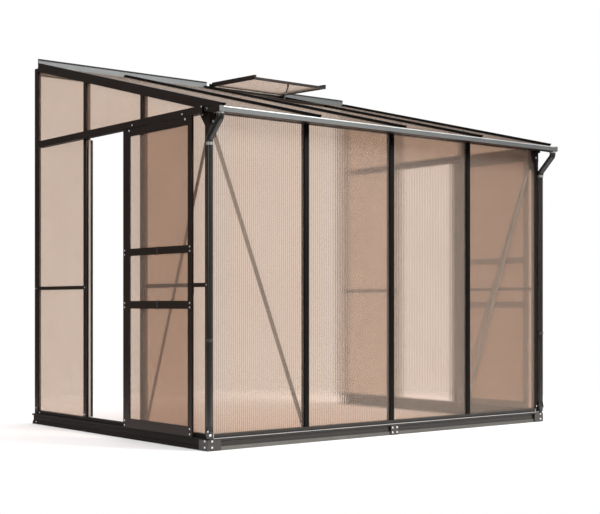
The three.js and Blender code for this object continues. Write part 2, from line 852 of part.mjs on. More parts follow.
/** Round bar through stations that each hold a place, a heading and a radius. */
function roundBar(x, stations) {
  const places = [];
  for (const { y, z, heading, radius } of stations) {
    for (let side = 0; side < pipeSides; side += 1) {
      const angle = (side / pipeSides) * 2 * Math.PI;
      const aside = radius * Math.sin(angle);
      places.push(x + radius * Math.cos(angle), y + aside * Math.cos(heading), z + aside * Math.sin(heading));
    }
  }
  const faces = [];
  const ring = (row, side) => row * pipeSides + (side % pipeSides);
  for (let row = 0; row + 1 < stations.length; row += 1) {
    for (let side = 0; side < pipeSides; side += 1) {
      faces.push(ring(row, side), ring(row + 1, side), ring(row + 1, side + 1));
      faces.push(ring(row, side), ring(row + 1, side + 1), ring(row, side + 1));
    }
  }
  const last = stations.length - 1;
  for (let side = 1; side + 1 < pipeSides; side += 1) {
    faces.push(ring(0, 0), ring(0, side), ring(0, side + 1));
    faces.push(ring(last, 0), ring(last, side + 1), ring(last, side));
  }
  const geometry = new THREE.BufferGeometry();
  geometry.setAttribute("position", new THREE.Float32BufferAttribute(places, 3));
  geometry.setIndex(faces);
  geometry.computeVertexNormals();
  return geometry;
}

/** Downpipe: outlet, swan-neck, collar, pipe and shoe; a bore in its mouth, and notches at the post. */
function downpipe(side) {
  const lean = Math.PI / 4;
  const upper = gutterBottom - seatGap - elbowDrop - bendRadius;
  const lower = upper - (outletFront - pipeFront);
  const swanTop = bendStations([-outletFront, upper], [0, lean], bendRadius);
  const swanFoot = bendStations([-pipeFront, lower], [lean, 0], bendRadius);
  const down = (z, radius) => ({ y: -pipeFront, z, heading: 0, radius });
  const collarTop = swanFoot[bendSteps].z - seatGap;
  const stations = [
    { y: -outletFront, z: gutterBottom - seatGap, heading: 0, radius: elbowRadius },
    ...swanTop.map((station) => ({ ...station, radius: elbowRadius })),
    ...swanFoot.map((station) => ({ ...station, radius: elbowRadius })),
    down(collarTop, collarRadius),
    down(collarTop - collarHeight, collarRadius),
    down(collarTop - collarHeight - seatGap, pipeRadius),
    down(shoeTop, pipeRadius),
    down(shoeWide, shoeRadius),
    down(lipTop + seatGap, shoeEndRadius),
  ];
  const mouth = drainBore(side, gutterBottom - outletBoreDepth, gutterBottom);
  const post = box(
    endSpan(side, faceOut + seatGap, -collarRadius),
    [-faceOut - seatGap, collarRadius],
    [lipTop, eavesBottom],
  );
  return combine([roundBar(endX(side, pipeOut), stations)], [mouth, post]);
}

// Doors and their tracks

/** Door track: a channel open below by a slot, with the head that closes the doorway. */
function doorTrack(side) {
  const inner = faceOut + trackSheet;
  const outer = trackReach - trackSheet;
  const slotOuter = trackReach - trackLip;
  const slotInner = slotOuter - trackSlot;
  const outline = [
    [faceOut, trackBottom],
    [faceOut, trackTop],
    [trackReach, trackTop],
    [trackReach, trackBottom],
    [slotOuter, trackBottom],
    [slotOuter, trackFloor],
    [outer, trackFloor],
    [outer, trackTop - trackSheet],
    [inner, trackTop - trackSheet],
    [inner, trackFloor],
    [slotInner, trackFloor],
    [slotInner, trackBottom],
  ];
  const channel = prismY(outline.map(([out, z]) => [endX(side, out), z]), [0, depth - trackEndGap]);
  const doorway = [endBayWidth + barHalf + seatGap, 2 * endBayWidth - barHalf - seatGap];
  const head = box(endSpan(side, faceOut + weldBite, -faceIn), doorway, [eavesBottom, trackTop]);
  const grooveSpan = [doorway[0] - overrun, doorway[1] + overrun];
  const groove = box(
    endSpan(side, grooveHalf, -grooveHalf),
    grooveSpan,
    [trackTop - grooveDepth, trackTop + overrun],
  );
  return combine([channel, head], [groove]);
}

/** Door leaf frame with its middle rails, the pull, and the hangers with their axles. */
function doorFrame(side) {
  const ySpan = [doorFront, doorFront + doorWidth];
  const across = endSpan(side, doorInner, doorOuter);
  const window = [ySpan[0] + stileWidth, ySpan[1] - rearStileWidth];
  const light = [doorFoot + footRailHeight, doorHead - headRailHeight];
  const grow = (span, by) => [span[0] - by, span[1] + by];
  const railDepth = endSpan(side, doorMiddle + grooveHalf, doorOuter);
  const rail = (bottom, height) => box(railDepth, grow(window, weldBite), [bottom, bottom + height]);
  const joined = [
    box(across, ySpan, [doorFoot, doorHead]),
    box(
      endSpan(side, doorInner + pullInset, doorOuter - pullInset),
      [ySpan[0] - pullReach, ySpan[0] + weldBite],
      [pullBottom, pullBottom + pullHeight],
    ),
  ];
  const cuts = [
    box(grow(across, overrun), window, light),
    box(
      endSpan(side, doorMiddle - grooveHalf, doorMiddle + grooveHalf),
      grow(window, doorGrooveDepth),
      grow(light, doorGrooveDepth),
    ),
  ];
  const leaf = combine(joined, cuts);
  const hangers = [ySpan[0] + hangerInset, ySpan[1] - hangerInset].flatMap((y) => doorHanger(side, y));
  return combine([
    leaf,
    rail(lowerRailBottom, lowerRailHeight),
    rail(upperRailBottom, upperRailHeight),
    ...hangers,
  ]);
}

/** Hanger plate through the track's slot, and the axle of its roller. */
function doorHanger(side, y) {
  const plate = box(
    endSpan(side, doorInner, doorInner + hangerThickness),
    [y - hangerWidth / 2, y + hangerWidth / 2],
    [doorHead - weldBite, axleHeight + hangerCrown],
  );
  const axle = rodX(axleRadius, endSpan(side, rollerInner(), doorInner + weldBite), y, axleHeight, pegSides);
  return [plate, axle];
}

/** Where the inner face of a roller lies, outside the wall plane. */
function rollerInner() {
  return faceOut + trackSheet + (doorInner - faceOut - trackSheet - rollerWidth) / 2;
}

/** Door roller, a flat wheel with eased edges, turning on its axle. */
function doorRoller(side, y) {
  const bore = axleRadius + axleGap;
  const profile = [
    [bore, 0],
    [rollerRadius - rollerEase, 0],
    [rollerRadius, rollerEase],
    [rollerRadius, rollerWidth - rollerEase],
    [rollerRadius - rollerEase, rollerWidth],
    [bore, rollerWidth],
    [bore, 0],
  ].map(([radius, reach]) => new THREE.Vector2(radius, reach));
  const wheel = new THREE.LatheGeometry(profile, rollerSides).rotateZ(-Math.PI / 2);
  const inner = rollerInner();
  return wheel.translate(endX(side, side < 0 ? inner + rollerWidth : inner), y, axleHeight);
}

/** Sheet of a door leaf, behind the middle rails. */
function doorSheet(side) {
  const bite = doorGrooveDepth - edgeGap;
  return box(
    endSpan(side, doorMiddle - sheetHalf, doorMiddle + sheetHalf),
    [doorFront + stileWidth - bite, doorFront + doorWidth - rearStileWidth + bite],
    [doorFoot + footRailHeight - bite, doorHead - headRailHeight + bite],
  );
}

// Assembly

/** Adds one named piece with a finish of its own to a group. */
function place(group, name, geometry, finish) {
  const mesh = new THREE.Mesh(geometry, new THREE.MeshStandardMaterial(finishes[finish]));
  mesh.name = name;
  group.add(mesh);
}

const greenhouse = new THREE.Group();
const body = new THREE.Group();
const roof = new THREE.Group();
const lid = new THREE.Group();
roof.position.set(0, 0, roofZero);
roof.rotation.x = slope;
lid.position.set(0, hinge.y, hinge.z);
lid.rotation.x = lidAngle;
body.position.set(-length / 2, (gutterReach - depth) / 2, 0);
body.add(roof, lid);
greenhouse.add(body);

place(body, "base_front", frontBase(), "frame");
place(body, "eaves_rail", eavesRail(), "frame");
place(body, "wall_plate", wallPlate(), "trim");
place(body, "gutter_wall", gutterWall(), "trim");
place(body, "gutter_floor", gutterFloorPlate(), "trim");
place(body, "gutter_back", gutterBack(), "trim");

for (let index = 0; index < frontBays; index += 1) {
  place(body, `front_sheet_${index + 1}`, frontSheet(index), "sheet");
  place(roof, `roof_sheet_${index + 1}`, roofSheet(index), "sheet");
}
for (let index = 1; index < frontBays; index += 1) {
  place(body, `front_bar_${index}`, frontBar(index), "frame");
}
for (let index = 1; index < frontBays; index += 1) {
  const besideVent = index === ventBay - 1 || index === ventBay;
  const lidEdge = index === ventBay ? ventRight : ventLeft;
  const bar = besideVent ? ventBar(index, lidEdge, index === ventBay ? -1 : 1) : roofBar(index);
  place(roof, `roof_bar_${index}`, bar, "frame");
}

for (const [end, side] of [["left", -1], ["right", 1]]) {
  const barEdge = barHalf - sheetBite;
  const rearPostFront = depth - rearPostDepth;
  const endSheets = {
    front: [[endSheetStart, endBayWidth - barEdge], sillTop - sheetBite],
    door_head: [[endBayWidth + barEdge, 2 * endBayWidth - barEdge], trackTop - sheetBite],
    rear: [[2 * endBayWidth + barEdge, rearPostFront + sheetBite], sillTop - sheetBite],
  };
  place(body, `base_${end}`, endBase(side), "frame");
  place(body, `post_front_${end}`, frontPost(side), "frame");
  place(body, `post_rear_${end}`, rearPost(side), "frame");
  for (let index = 1; index < endBays; index += 1) {
    place(body, `end_bar_${end}_${index}`, endBar(side, index), "frame");
  }
  for (const [name, [ySpan, bottom]] of Object.entries(endSheets)) {
    place(body, `end_sheet_${end}_${name}`, endSheet(side, ySpan, bottom), "sheet");
  }
  place(body, `brace_${end}_front`, frontBrace(side), "brace");
  place(body, `brace_${end}_end`, endBrace(side), "brace");
  place(roof, `rafter_${end}`, rafter(side), "frame");
  place(body, `gutter_cap_${end}`, gutterCap(side), "frame");
  place(body, `downpipe_${end}`, downpipe(side), "pipe");
  place(body, `door_track_${end}`, doorTrack(side), "frame");
  place(body, `door_frame_${end}`, doorFrame(side), "frame");
  place(body, `door_sheet_${end}`, doorSheet(side), "sheet");
  place(body, `roller_${end}_front`, doorRoller(side, doorFront + hangerInset), "roller");
  place(body, `roller_${end}_rear`, doorRoller(side, doorFront + doorWidth - hangerInset), "roller");
}

place(roof, "vent_crossbar", ventCrossbar(), "frame");
place(lid, "vent_frame", ventFrame(), "frame");
place(lid, "vent_sheet", ventSheet(), "sheet");
place(body, "vent_stay", ventStay(), "brace");

export default greenhouse;
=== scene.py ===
import math

import bpy
import numpy as np
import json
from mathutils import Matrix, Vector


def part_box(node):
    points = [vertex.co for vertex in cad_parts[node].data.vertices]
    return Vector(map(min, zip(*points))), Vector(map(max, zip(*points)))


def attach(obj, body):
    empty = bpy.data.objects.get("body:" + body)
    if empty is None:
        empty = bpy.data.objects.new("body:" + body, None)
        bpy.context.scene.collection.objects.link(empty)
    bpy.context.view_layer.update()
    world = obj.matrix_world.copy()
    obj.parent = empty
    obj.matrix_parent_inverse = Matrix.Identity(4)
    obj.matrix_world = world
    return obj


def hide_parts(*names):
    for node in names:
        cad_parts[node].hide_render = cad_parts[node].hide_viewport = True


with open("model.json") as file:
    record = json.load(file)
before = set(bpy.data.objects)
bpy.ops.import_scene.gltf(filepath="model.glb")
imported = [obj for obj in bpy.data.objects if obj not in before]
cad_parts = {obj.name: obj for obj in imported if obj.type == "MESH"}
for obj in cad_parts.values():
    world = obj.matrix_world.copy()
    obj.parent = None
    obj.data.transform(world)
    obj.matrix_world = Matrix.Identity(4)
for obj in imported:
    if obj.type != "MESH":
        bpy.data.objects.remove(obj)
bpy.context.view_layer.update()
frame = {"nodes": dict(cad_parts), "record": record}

# Sizes in millimetres. x runs along the front, y from the front to the ridge, z up, as in the CAD part.
# The origin of these sizes is the corner where the sheets of the front and of the left end meet.
MM = 0.001
BAY = 620.0
BAYS = 4
END_BAY = 620.0
END_BAYS = 3
LENGTH = BAYS * BAY
DEPTH = END_BAYS * END_BAY
PITCH = math.radians(14.1)
SEAT = 0.3
EAVES_TOP = 1722.0
SILL = 81.0
FACE_OUT = 12.0
FACE_IN = 18.0
BAR_HALF = 15.0
BAR_OUT = 17.5
BASE_OUT = 31.4
SHEET_THICK = 4.0
PLATE_FRONT = DEPTH - 42.0
TRACK_BOTTOM = EAVES_TOP - 39.0
TRACK_REACH = 46.0
DOOR_OUT = 45.0
DOOR_FRONT = 93.0
DOOR_REAR = DOOR_FRONT + 664.0
GUTTER_REACH = 141.0
GUTTER_TOP = 1706.0
GUTTER_FLOOR = 1679.0
GUTTER_OVERHANG = 40.0
VENT_LAP = 5.0
VENT_LEFT = 2 * BAY + BAR_HALF - VENT_LAP
VENT_RIGHT = 3 * BAY - BAR_HALF + VENT_LAP
VENT_LIFT = math.radians(12.3)
LID_TILT = PITCH - VENT_LIFT
ORIGIN = np.array([LENGTH / 2, (DEPTH - GUTTER_REACH) / 2, 0.0])
ROOF_ZERO = EAVES_TOP + SEAT + FACE_OUT / math.cos(PITCH) + FACE_OUT * math.tan(PITCH)
ENDS = (("left", -1), ("right", 1))


# Shapes

def fan(faces):
    """Triangles of faces with equally many corners: from a face's first corner to each side apart from it."""
    first = np.repeat(faces[:, :1], faces.shape[1] - 2, axis=1)
    return np.stack([first, faces[:, 1:-1], faces[:, 2:]], -1).reshape(-1, 3)


def outwards(verts, groups):
    """Vertices and faces, the faces turned outwards: the volume, a sixth of the sum of a . (b x c) over all
    triangles, must be positive."""
    triangles = np.concatenate([fan(faces) for faces in groups])
    a, b, c = (verts[triangles[:, corner]] for corner in range(3))
    turn = 1 if np.sum(a * np.cross(b, c)) > 0 else -1
    return verts, [face for faces in groups for face in faces[:, ::turn].tolist()]


def loft(sections, loop=False):
    """Skin over cross-sections. Point i of section k is sections[k, i]. Neighbouring sections are joined by
    quads, point to point, and the first and last are closed by flat faces unless they meet in a loop."""
    sections = np.asarray(sections, float)
    count, points, _ = sections.shape
    start = points * np.arange(count if loop else count - 1)[:, None]
    after = (start + points) % (count * points)
    point = np.arange(points)
    beside = (point + 1) % points
    quads = np.stack([start + point, start + beside, after + beside, after + point], -1).reshape(-1, 4)
    caps = np.stack([point[::-1], point + (count - 1) * points])
    return outwards(sections.reshape(-1, 3), [quads] if loop else [quads, caps])


def ring_angles(sides):
    """Equal steps round a circle, as a column."""
    return np.linspace(0, 2 * math.pi, sides, endpoint=False)[:, None]


STEEP_SHARE = 0.9


def turned(centre, normal, profile, sides):
    """Surface of revolution: a row r, h of the profile is a circle of radius r, at height h on the normal.
    The circle is r times cos t along u and sin t along v, square to the normal and to each other."""
    w = np.asarray(normal, float)
    w = w / np.linalg.norm(w)
    up = (0.0, 0.0, 1.0) if abs(w[2]) < STEEP_SHARE else (0.0, 1.0, 0.0)
    u = np.cross(up, w)
    u /= np.linalg.norm(u)
    v = np.cross(w, u)
    angle = ring_angles(sides)
    circle = np.cos(angle) * u + np.sin(angle) * v
    radius, height = np.asarray(profile, float).T[:, :, None, None]
    return loft(np.asarray(centre) + radius * circle + height * w)


def placed(place, a, b, w):
    """Points x, y, z of the coordinates a, b and w, as the function place gives them."""
    return np.stack(np.broadcast_arrays(*place(a, b, w)), -1)


SHARPEST_SHARE = 0.2


def inset(outline, by):
    """Outline moved inwards: a corner goes along the bisector of its sides, until it is `by` from both."""
    before = outline - np.roll(outline, 1, 0)
    after = np.roll(outline, -1, 0) - outline
    x, y = outline.T
    turn = math.copysign(1.0, np.sum(x * np.roll(y, -1) - y * np.roll(x, -1)))
    normals = []
    for side in (before, after):
        normals.append(turn * np.stack([-side[:, 1], side[:, 0]], 1) / np.linalg.norm(side, axis=1)[:, None])
    share = 1 + np.sum(normals[0] * normals[1], 1)
    return outline + by * (normals[0] + normals[1]) / np.maximum(share, SHARPEST_SHARE)[:, None]


# How far the edges of a plate are eased: a stout one, one with a soft edge, a strip, a thin one and a foil.
EASE = 0.4
SOFT_EASE = 0.5
STRIP_EASE = 0.3
THIN_EASE = 0.2
FOIL_EASE = 0.1


def plate(outline, start, end, place, ease=EASE):
    """Flat plate: an outline pushed from start to end, its edges eased by insetting the two end sections.
    place(a, b, w) turns the outline's coordinates a and b and the push w into x, y, z."""
    full = np.asarray(outline, float)
    thin = inset(full, ease)
    step = math.copysign(ease, end - start)
    sections = []
    for shape, push in ((thin, start), (full, start + step), (full, end - step), (thin, end)):
        sections.append(placed(place, shape[:, 0], shape[:, 1], push))
    return loft(sections)


def rectangle(a0, b0, a1, b1):
    """Outline with two opposite corners at a0, b0 and a1, b1."""
    return [(a0, b0), (a1, b0), (a1, b1), (a0, b1)]


PIPE_SIDES = 40


def hollow_pipe(path, radii, wall):
    """Circles round a path in a plane of one x: p + r * (cos t * across + sin t * square), where square is at
    right angles to the path. They go along the outside and come back, less the wall, along the inside."""
    path = np.asarray(path, float)
    radii = np.asarray(radii, float)[:, None, None]
    across = np.array([1.0, 0.0, 0.0])
    square = np.cross(np.gradient(path, axis=0), across)
    square /= np.linalg.norm(square, axis=1)[:, None]
    angle = ring_angles(PIPE_SIDES)
    circle = np.cos(angle) * across + np.sin(angle) * square[:, None, :]
    outside = path[:, None, :] + radii * circle
    inside = path[:, None, :] + (radii - wall) * circle
    return loft(np.concatenate([outside, inside[::-1]]), loop=True)


FLUTE = 13.0
FLUTE_STEPS = 8
FLUTE_HALF = 1.98
FLUTE_DIP = 0.35


def fluted(across, bottom, top, place):
    """Twin-wall sheet: w = half - dip * sin^2(pi * u / pitch) on both faces, so that the skins sink a little
    between the ribs. u runs across the flutes, and each flute reaches from bottom(u) to top(u). The third
    result, for the attribute rib, is cos^2 of the same angle: 1 on a rib and 0 midway between two ribs."""
    start, end = across
    flutes = max(2, int(round((end - start) / FLUTE)))
    u = np.linspace(start, end, flutes * FLUTE_STEPS + 1)
    phase = math.pi * flutes * (u - start) / (end - start)
    w = FLUTE_HALF - FLUTE_DIP * np.sin(phase) ** 2
    sections = []
    for v in (bottom(u), top(u)):
        front = placed(place, u, v, w)
        back = placed(place, u[::-1], v[::-1], -w[::-1])
        sections.append(np.concatenate([front, back]))
    verts, faces = loft(sections)
    rib = np.cos(phase) ** 2
    return verts, faces, np.tile(np.append(rib, rib[::-1]), 2)


def merged(shapes):
    """Joins the vertices and faces of shapes, each one's face numbers shifted by the vertices before it."""
    verts, faces, start = [], [], 0
    for points, polygons in shapes:
        verts.append(points)
        faces += [[corner + start for corner in face] for face in polygons]
        start += len(points)
    return np.concatenate(verts), faces


CREASE = math.radians(32)


def add(name, shape, material, body, smooth=True, replaces=(), rib=None):
    """Makes a piece from millimetre vertices and faces; it rides on a CAD body."""
    verts, faces = shape
    mesh = bpy.data.meshes.new(name)
    mesh.from_pydata(((verts - ORIGIN) * MM).tolist(), [], faces)
    if smooth:
        mesh.shade_smooth()
        mesh.set_sharp_from_angle(angle=CREASE)
    if rib is not None:
        mesh.attributes.new("rib", "FLOAT", "POINT").data.foreach_set("value", rib.astype(np.float32))
    mesh.materials.append(material)
    obj = bpy.data.objects.new(name, mesh)
    bpy.context.scene.collection.objects.link(obj)
    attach(obj, body)
    if replaces:
        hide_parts(*replaces)


# Materials

# Numbers of a Mix node's sockets when it mixes colours.
MIX_SHARE, MIX_FIRST, MIX_SECOND = 0, 6, 7
MIX_RESULT = 2


def material(name):
    """Empty node material, with its nodes and links."""
    mat = bpy.data.materials.new(name)
    mat.use_nodes = True
    mat.node_tree.nodes.clear()
    return mat, mat.node_tree.nodes, mat.node_tree.links


def put(nodes, kind, values=(), **settings):
    """Adds a shader node, with its settings and the values of its inputs."""
    node = nodes.new(kind)
    for name, value in settings.items():
        setattr(node, name, value)
    for entry, value in dict(values).items():
        node.inputs[entry].default_value = value
    return node


def wire(links, *runs):
    """Links nodes: each run names a node, its output, the next node and its input."""
    for source, output, target, entry in runs:
        links.new(source.outputs[output], target.inputs[entry])


BROAD_GRAIN = {"Scale": 9.0, "Detail": 5.0}
FINE_GRAIN = {"Scale": 900.0, "Detail": 2.0}
FINE_BUMP = {"Strength": 0.08, "Distance": 0.0004}
SMOOTHER = 0.07
ROUGHER = 0.09
SMOOTHEST = 0.05


def painted(name, base, rough, metal, vary=0.12, shine=0.5):
    """Coated metal: object-space noise varies the colour a little and the roughness more, and its fine bump
    comes from a second noise."""
    mat, nodes, links = material(name)
    darker = [part * (1 - vary) for part in base]
    lighter = [min(1.0, part * (1 + vary)) for part in base]
    roughness = {"To Min": max(SMOOTHEST, rough - SMOOTHER), "To Max": rough + ROUGHER}
    out = put(nodes, "ShaderNodeOutputMaterial")
    coat = put(nodes, "ShaderNodeBsdfPrincipled", {"Metallic": metal, "Specular IOR Level": shine})
    coords = put(nodes, "ShaderNodeTexCoord")
    broad = put(nodes, "ShaderNodeTexNoise", BROAD_GRAIN)
    fine = put(nodes, "ShaderNodeTexNoise", FINE_GRAIN)
    colours = {MIX_FIRST: (*darker, 1), MIX_SECOND: (*lighter, 1)}
    colour = put(nodes, "ShaderNodeMix", colours, data_type="RGBA")
    spread = put(nodes, "ShaderNodeMapRange", roughness)
    bump = put(nodes, "ShaderNodeBump", FINE_BUMP)
    wire(
        links,
        (coords, "Object", broad, "Vector"),
        (coords, "Object", fine, "Vector"),
        (broad, "Fac", colour, MIX_SHARE),
        (broad, "Fac", spread, "Value"),
        (fine, "Fac", bump, "Height"),
        (colour, MIX_RESULT, coat, "Base Color"),
        (spread, "Result", coat, "Roughness"),
        (bump, "Normal", coat, "Normal"),
        (coat, "BSDF", out, "Surface"),
    )
    return mat


# warm tan of the clear sheets' tint, skin and glow: painted light from a warm wall behind them
TINT_DEEP = (0.84, 0.745, 0.675, 1)
TINT_PALE = (0.885, 0.80, 0.735, 1)
TINT_GRAIN = {"Scale": 3.0, "Detail": 3.0}
SCATTER = {"IOR": 1.08, "Roughness": 0.17}
SKIN = {"Base Color": (0.50, 0.44, 0.39, 1), "Roughness": 0.3}
GLOW = {"Color": (0.62, 0.54, 0.48, 1)}
GLOW_SHARE = 0.45
CLOUD_BETWEEN_RIBS = 0.13
CLOUD_ON_RIB = 0.34


def twin_wall():
    """Clear twin-wall sheet. What lies close behind it shows sharp and what lies far behind it shows blurred,
    because it scatters light by a small angle. A share of the light, larger on the ribs, is scattered fully,
    as a pale cloud."""
    mat, nodes, links = material("twin_wall")
    out = put(nodes, "ShaderNodeOutputMaterial")
    rib = put(nodes, "ShaderNodeAttribute", attribute_name="rib")
    coords = put(nodes, "ShaderNodeTexCoord")
    grain = put(nodes, "ShaderNodeTexNoise", TINT_GRAIN)
    tint = put(nodes, "ShaderNodeMix", {MIX_FIRST: TINT_DEEP, MIX_SECOND: TINT_PALE}, data_type="RGBA")
    path = put(nodes, "ShaderNodeLightPath")
    plain = put(nodes, "ShaderNodeMath", operation="MAXIMUM")
    clear = put(nodes, "ShaderNodeBsdfTransparent")
    blur = put(nodes, "ShaderNodeBsdfRefraction", SCATTER)
    through = put(nodes, "ShaderNodeMixShader")
    skin = put(nodes, "ShaderNodeBsdfPrincipled", SKIN)
    glow = put(nodes, "ShaderNodeBsdfTranslucent", GLOW)
    cloud = put(nodes, "ShaderNodeMixShader", {0: GLOW_SHARE})
    share = put(nodes, "ShaderNodeMapRange", {"To Min": CLOUD_BETWEEN_RIBS, "To Max": CLOUD_ON_RIB})
    mix = put(nodes, "ShaderNodeMixShader")
    wire(
        links,
        (coords, "Object", grain, "Vector"),
        (grain, "Fac", tint, MIX_SHARE),
        (tint, MIX_RESULT, clear, "Color"),
        (tint, MIX_RESULT, blur, "Color"),
        (path, "Is Shadow Ray", plain, 0),
        (path, "Is Diffuse Ray", plain, 1),
        (plain, "Value", through, 0),
        (blur, "BSDF", through, 1),
        (clear, "BSDF", through, 2),
        (skin, "BSDF", cloud, 1),
        (glow, "BSDF", cloud, 2),
        (rib, "Fac", share, "Value"),
        (share, "Result", mix, 0),
        (through, "Shader", mix, 1),
        (cloud, "Shader", mix, 2),
        (mix, "Shader", out, "Surface"),
    )
    return mat


# Name, colour, roughness and share of metal of each finish.
# frame paint: dark anthracite, its brown tint a painted reflection of a warm wall nearby
FRAME_PAINT = painted("frame_paint", (0.022, 0.0148, 0.0118), 0.36, 0.0, shine=0.2)
# a darker, duller copy of the frame paint for the bars and the right rafter: painted shade
SHADED_BAR_PAINT = painted("shaded_bar_paint", (0.006, 0.0052, 0.0046), 0.42, 0.0, shine=0.08)
TRIM = painted("light_metal", (0.115, 0.12, 0.118), 0.45, 0.55, shine=0.35)
PIPE_PAINT = painted("pipe_paint", (0.022, 0.021, 0.0195), 0.22, 0.0, shine=0.6)
BRACE_METAL = painted("brace_metal", (0.20, 0.235, 0.255), 0.42, 0.5)
PLATE_METAL = painted("plate_metal", (0.07, 0.064, 0.06), 0.4, 0.5)
# one base paint in two copies: the front rail's lighter copy is painted light, the end rails' darker copy
# painted shade
LIT_BASE_PAINT = painted("lit_base_paint", (0.034, 0.031, 0.027), 0.34, 0.2, shine=0.4)
SHADED_END_BASE_PAINT = painted("shaded_end_base_paint", (0.013, 0.0098, 0.0085), 0.5, 0.0, shine=0.1)
# pale grey for the front base rail's sloping foot: painted light
LIT_KICK_METAL = painted("lit_kick_metal", (0.13, 0.122, 0.108), 0.36, 0.4)
# near-white for thin strips along edges and under the lid: painted highlights
PAINTED_HIGHLIGHT = painted("painted_highlight", (0.66, 0.66, 0.63), 0.3, 0.6, vary=0.05)
ZINC = painted("zinc", (0.76, 0.76, 0.73), 0.34, 0.5, vary=0.06)
COLLAR_METAL = painted("collar_metal", (0.34, 0.34, 0.31), 0.32, 0.3)
# near-black for the top of the ridge upstand: painted shade
SHADE_BLACK = painted("painted_shade_black", (0.012, 0.012, 0.012), 0.7, 0.0)
ROLLER_PLASTIC = painted("roller_plastic", (0.02, 0.02, 0.02), 0.5, 0.0)
# pale strip paint for the doorway's rear bar
PALE_STRIP = painted("pale_strip", (0.55, 0.54, 0.52), 0.45, 0.0)
GLAZING = twin_wall()

SLOT_FINISHES = {
    "frame": FRAME_PAINT,
    "trim": TRIM,
    "glazing": GLAZING,
    "pipe": PIPE_PAINT,
    "brace": BRACE_METAL,
    "roller": ROLLER_PLASTIC,
}
NODE_FINISHES = {
    # front base rail: the lighter copy of the base paint, painted light
    "base_front": LIT_BASE_PAINT,
    # end base rails: the darker copy of the base paint, painted shade
    "base_left": SHADED_END_BASE_PAINT,
    "base_right": SHADED_END_BASE_PAINT,
    # the right rafter takes the darker copy of the frame paint: painted shade
    "rafter_right": SHADED_BAR_PAINT,
    # the gutter's floor takes the dark frame paint: painted shade under the gutter
    "gutter_floor": FRAME_PAINT,
}


def finish_nodes():
    """Gives each CAD node the finish of its slot, or its own where it differs."""
    slots = {row["node"]: row["material_slot"] for row in frame["record"]["subparts"]}
    for node, obj in frame["nodes"].items():
        finish = NODE_FINISHES.get(node, SLOT_FINISHES[slots[node]])
        # the front and roof bars take the darker copy of the frame paint: painted shade
        if node.startswith(("front_bar_", "roof_bar_")):
            finish = SHADED_BAR_PAINT
        if not obj.material_slots:
            obj.data.materials.append(finish)
        for holder in obj.material_slots:
            holder.link = "OBJECT"
            holder.material = finish


# Places

def end_x(side, out):
    """x of a place `out` outside the sheets of an end wall."""
    return -out if side < 0 else LENGTH + out


def roof_z(y, up):
    """Height of the line that lies `up` above the roof sheets, square to them."""
    return ROOF_ZERO + y * math.tan(PITCH) + up / math.cos(PITCH)


def node_box(node):
    """Box of a CAD node in millimetres, in the sizes' own origin."""
    low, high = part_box(node)
    return np.array(low) / MM + ORIGIN, np.array(high) / MM + ORIGIN


def along_front(y, z, x):
    """Place of an outline drawn in depth and height and pushed along the front."""
    return x, y, z


def forward(x, z, y):
    """Place of an outline drawn as seen from the front and pushed in depth."""
    return x, y, z


def forward_at_end(side):
    """As forward, for an outline drawn inwards from an end wall's sheets."""
    return lambda inward, z, y: (end_x(side, -inward), y, z)


def out_of_end(side):
    """Placement of an outline drawn on an end wall, in depth and height, and pushed out of it."""
    return lambda y, z, out: (end_x(side, out), y, z)


def upright(side):
    """Placement of an outline drawn in plan, outwards from an end's sheets and in depth, and pushed up."""
    return lambda out, y, z: (end_x(side, out), y, z)


def sloped(angle, y0, z0):
    """Placement of a sheet that slopes up from the line y0, z0: x, the way up it, and the rise square to it.
    A turn by the angle gives y = y0 + along * cos - rise * sin and z = z0 + along * sin + rise * cos."""
    cos, sin = math.cos(angle), math.sin(angle)
    return lambda x, along, rise: (x, y0 + along * cos - rise * sin, z0 + along * sin + rise * cos)


# Sheets

END_SHEET_TOP = -26.0
ROOF_SHEET_GAP = 1.0


def level(height):
    """Edge of a sheet that stays at one height across all flutes."""
    return lambda u: np.full_like(u, height)


def glaze(name, node, body, across, bottom, top, place):
    """Puts a fluted sheet in the place of a CAD sheet."""
    verts, faces, rib = fluted(across, bottom, top, place)
    add(name, (verts, faces), GLAZING, body, smooth=False, replaces=[node], rib=rib)


def front_sheets():
    """One sheet in each front bay, its flutes upright."""
    for bay in range(1, BAYS + 1):
        node = f"front_sheet_{bay}"
        low, high = node_box(node)
        glaze(f"fluted_front_{bay}", node, "frame", (low[0], high[0]), level(low[2]), level(high[2]),
              lambda x, z, out: (x, -out, z))


def end_sheets(end, side):
    """Sheets of an end wall, cut to the roof's slope at their heads."""
    for part in ("front", "door_head", "rear"):
        node = f"end_sheet_{end}_{part}"
        low, high = node_box(node)
        glaze(f"fluted_{end}_{part}", node, "frame", (low[1], high[1]), level(low[2]),
              lambda y: roof_z(y, END_SHEET_TOP), out_of_end(side))


def door_sheet(end, side):
    """Sheet of a door leaf, which slides with it."""
    node = f"door_sheet_{end}"
    low, high = node_box(node)
    middle = (low[0] + high[0]) / 2
    glaze(f"fluted_door_{end}", node, f"door_{end}", (low[1], high[1]), level(low[2]), level(high[2]),
          lambda y, z, out: (middle + side * out, y, z))


def roof_sheets():
    """One sheet in each roof bay, its flutes up the slope."""
    tip = SHEET_THICK / 2 * math.sin(PITCH)
    for bay in range(1, BAYS + 1):
        node = f"roof_sheet_{bay}"
        low, high = node_box(node)
        start = (low[1] + tip) / math.cos(PITCH)
        stop = (high[1] - tip) / math.cos(PITCH) - ROOF_SHEET_GAP
        glaze(f"fluted_roof_{bay}", node, "frame", (low[0], high[0]), level(start), level(stop),
              sloped(PITCH, 0.0, ROOF_ZERO))


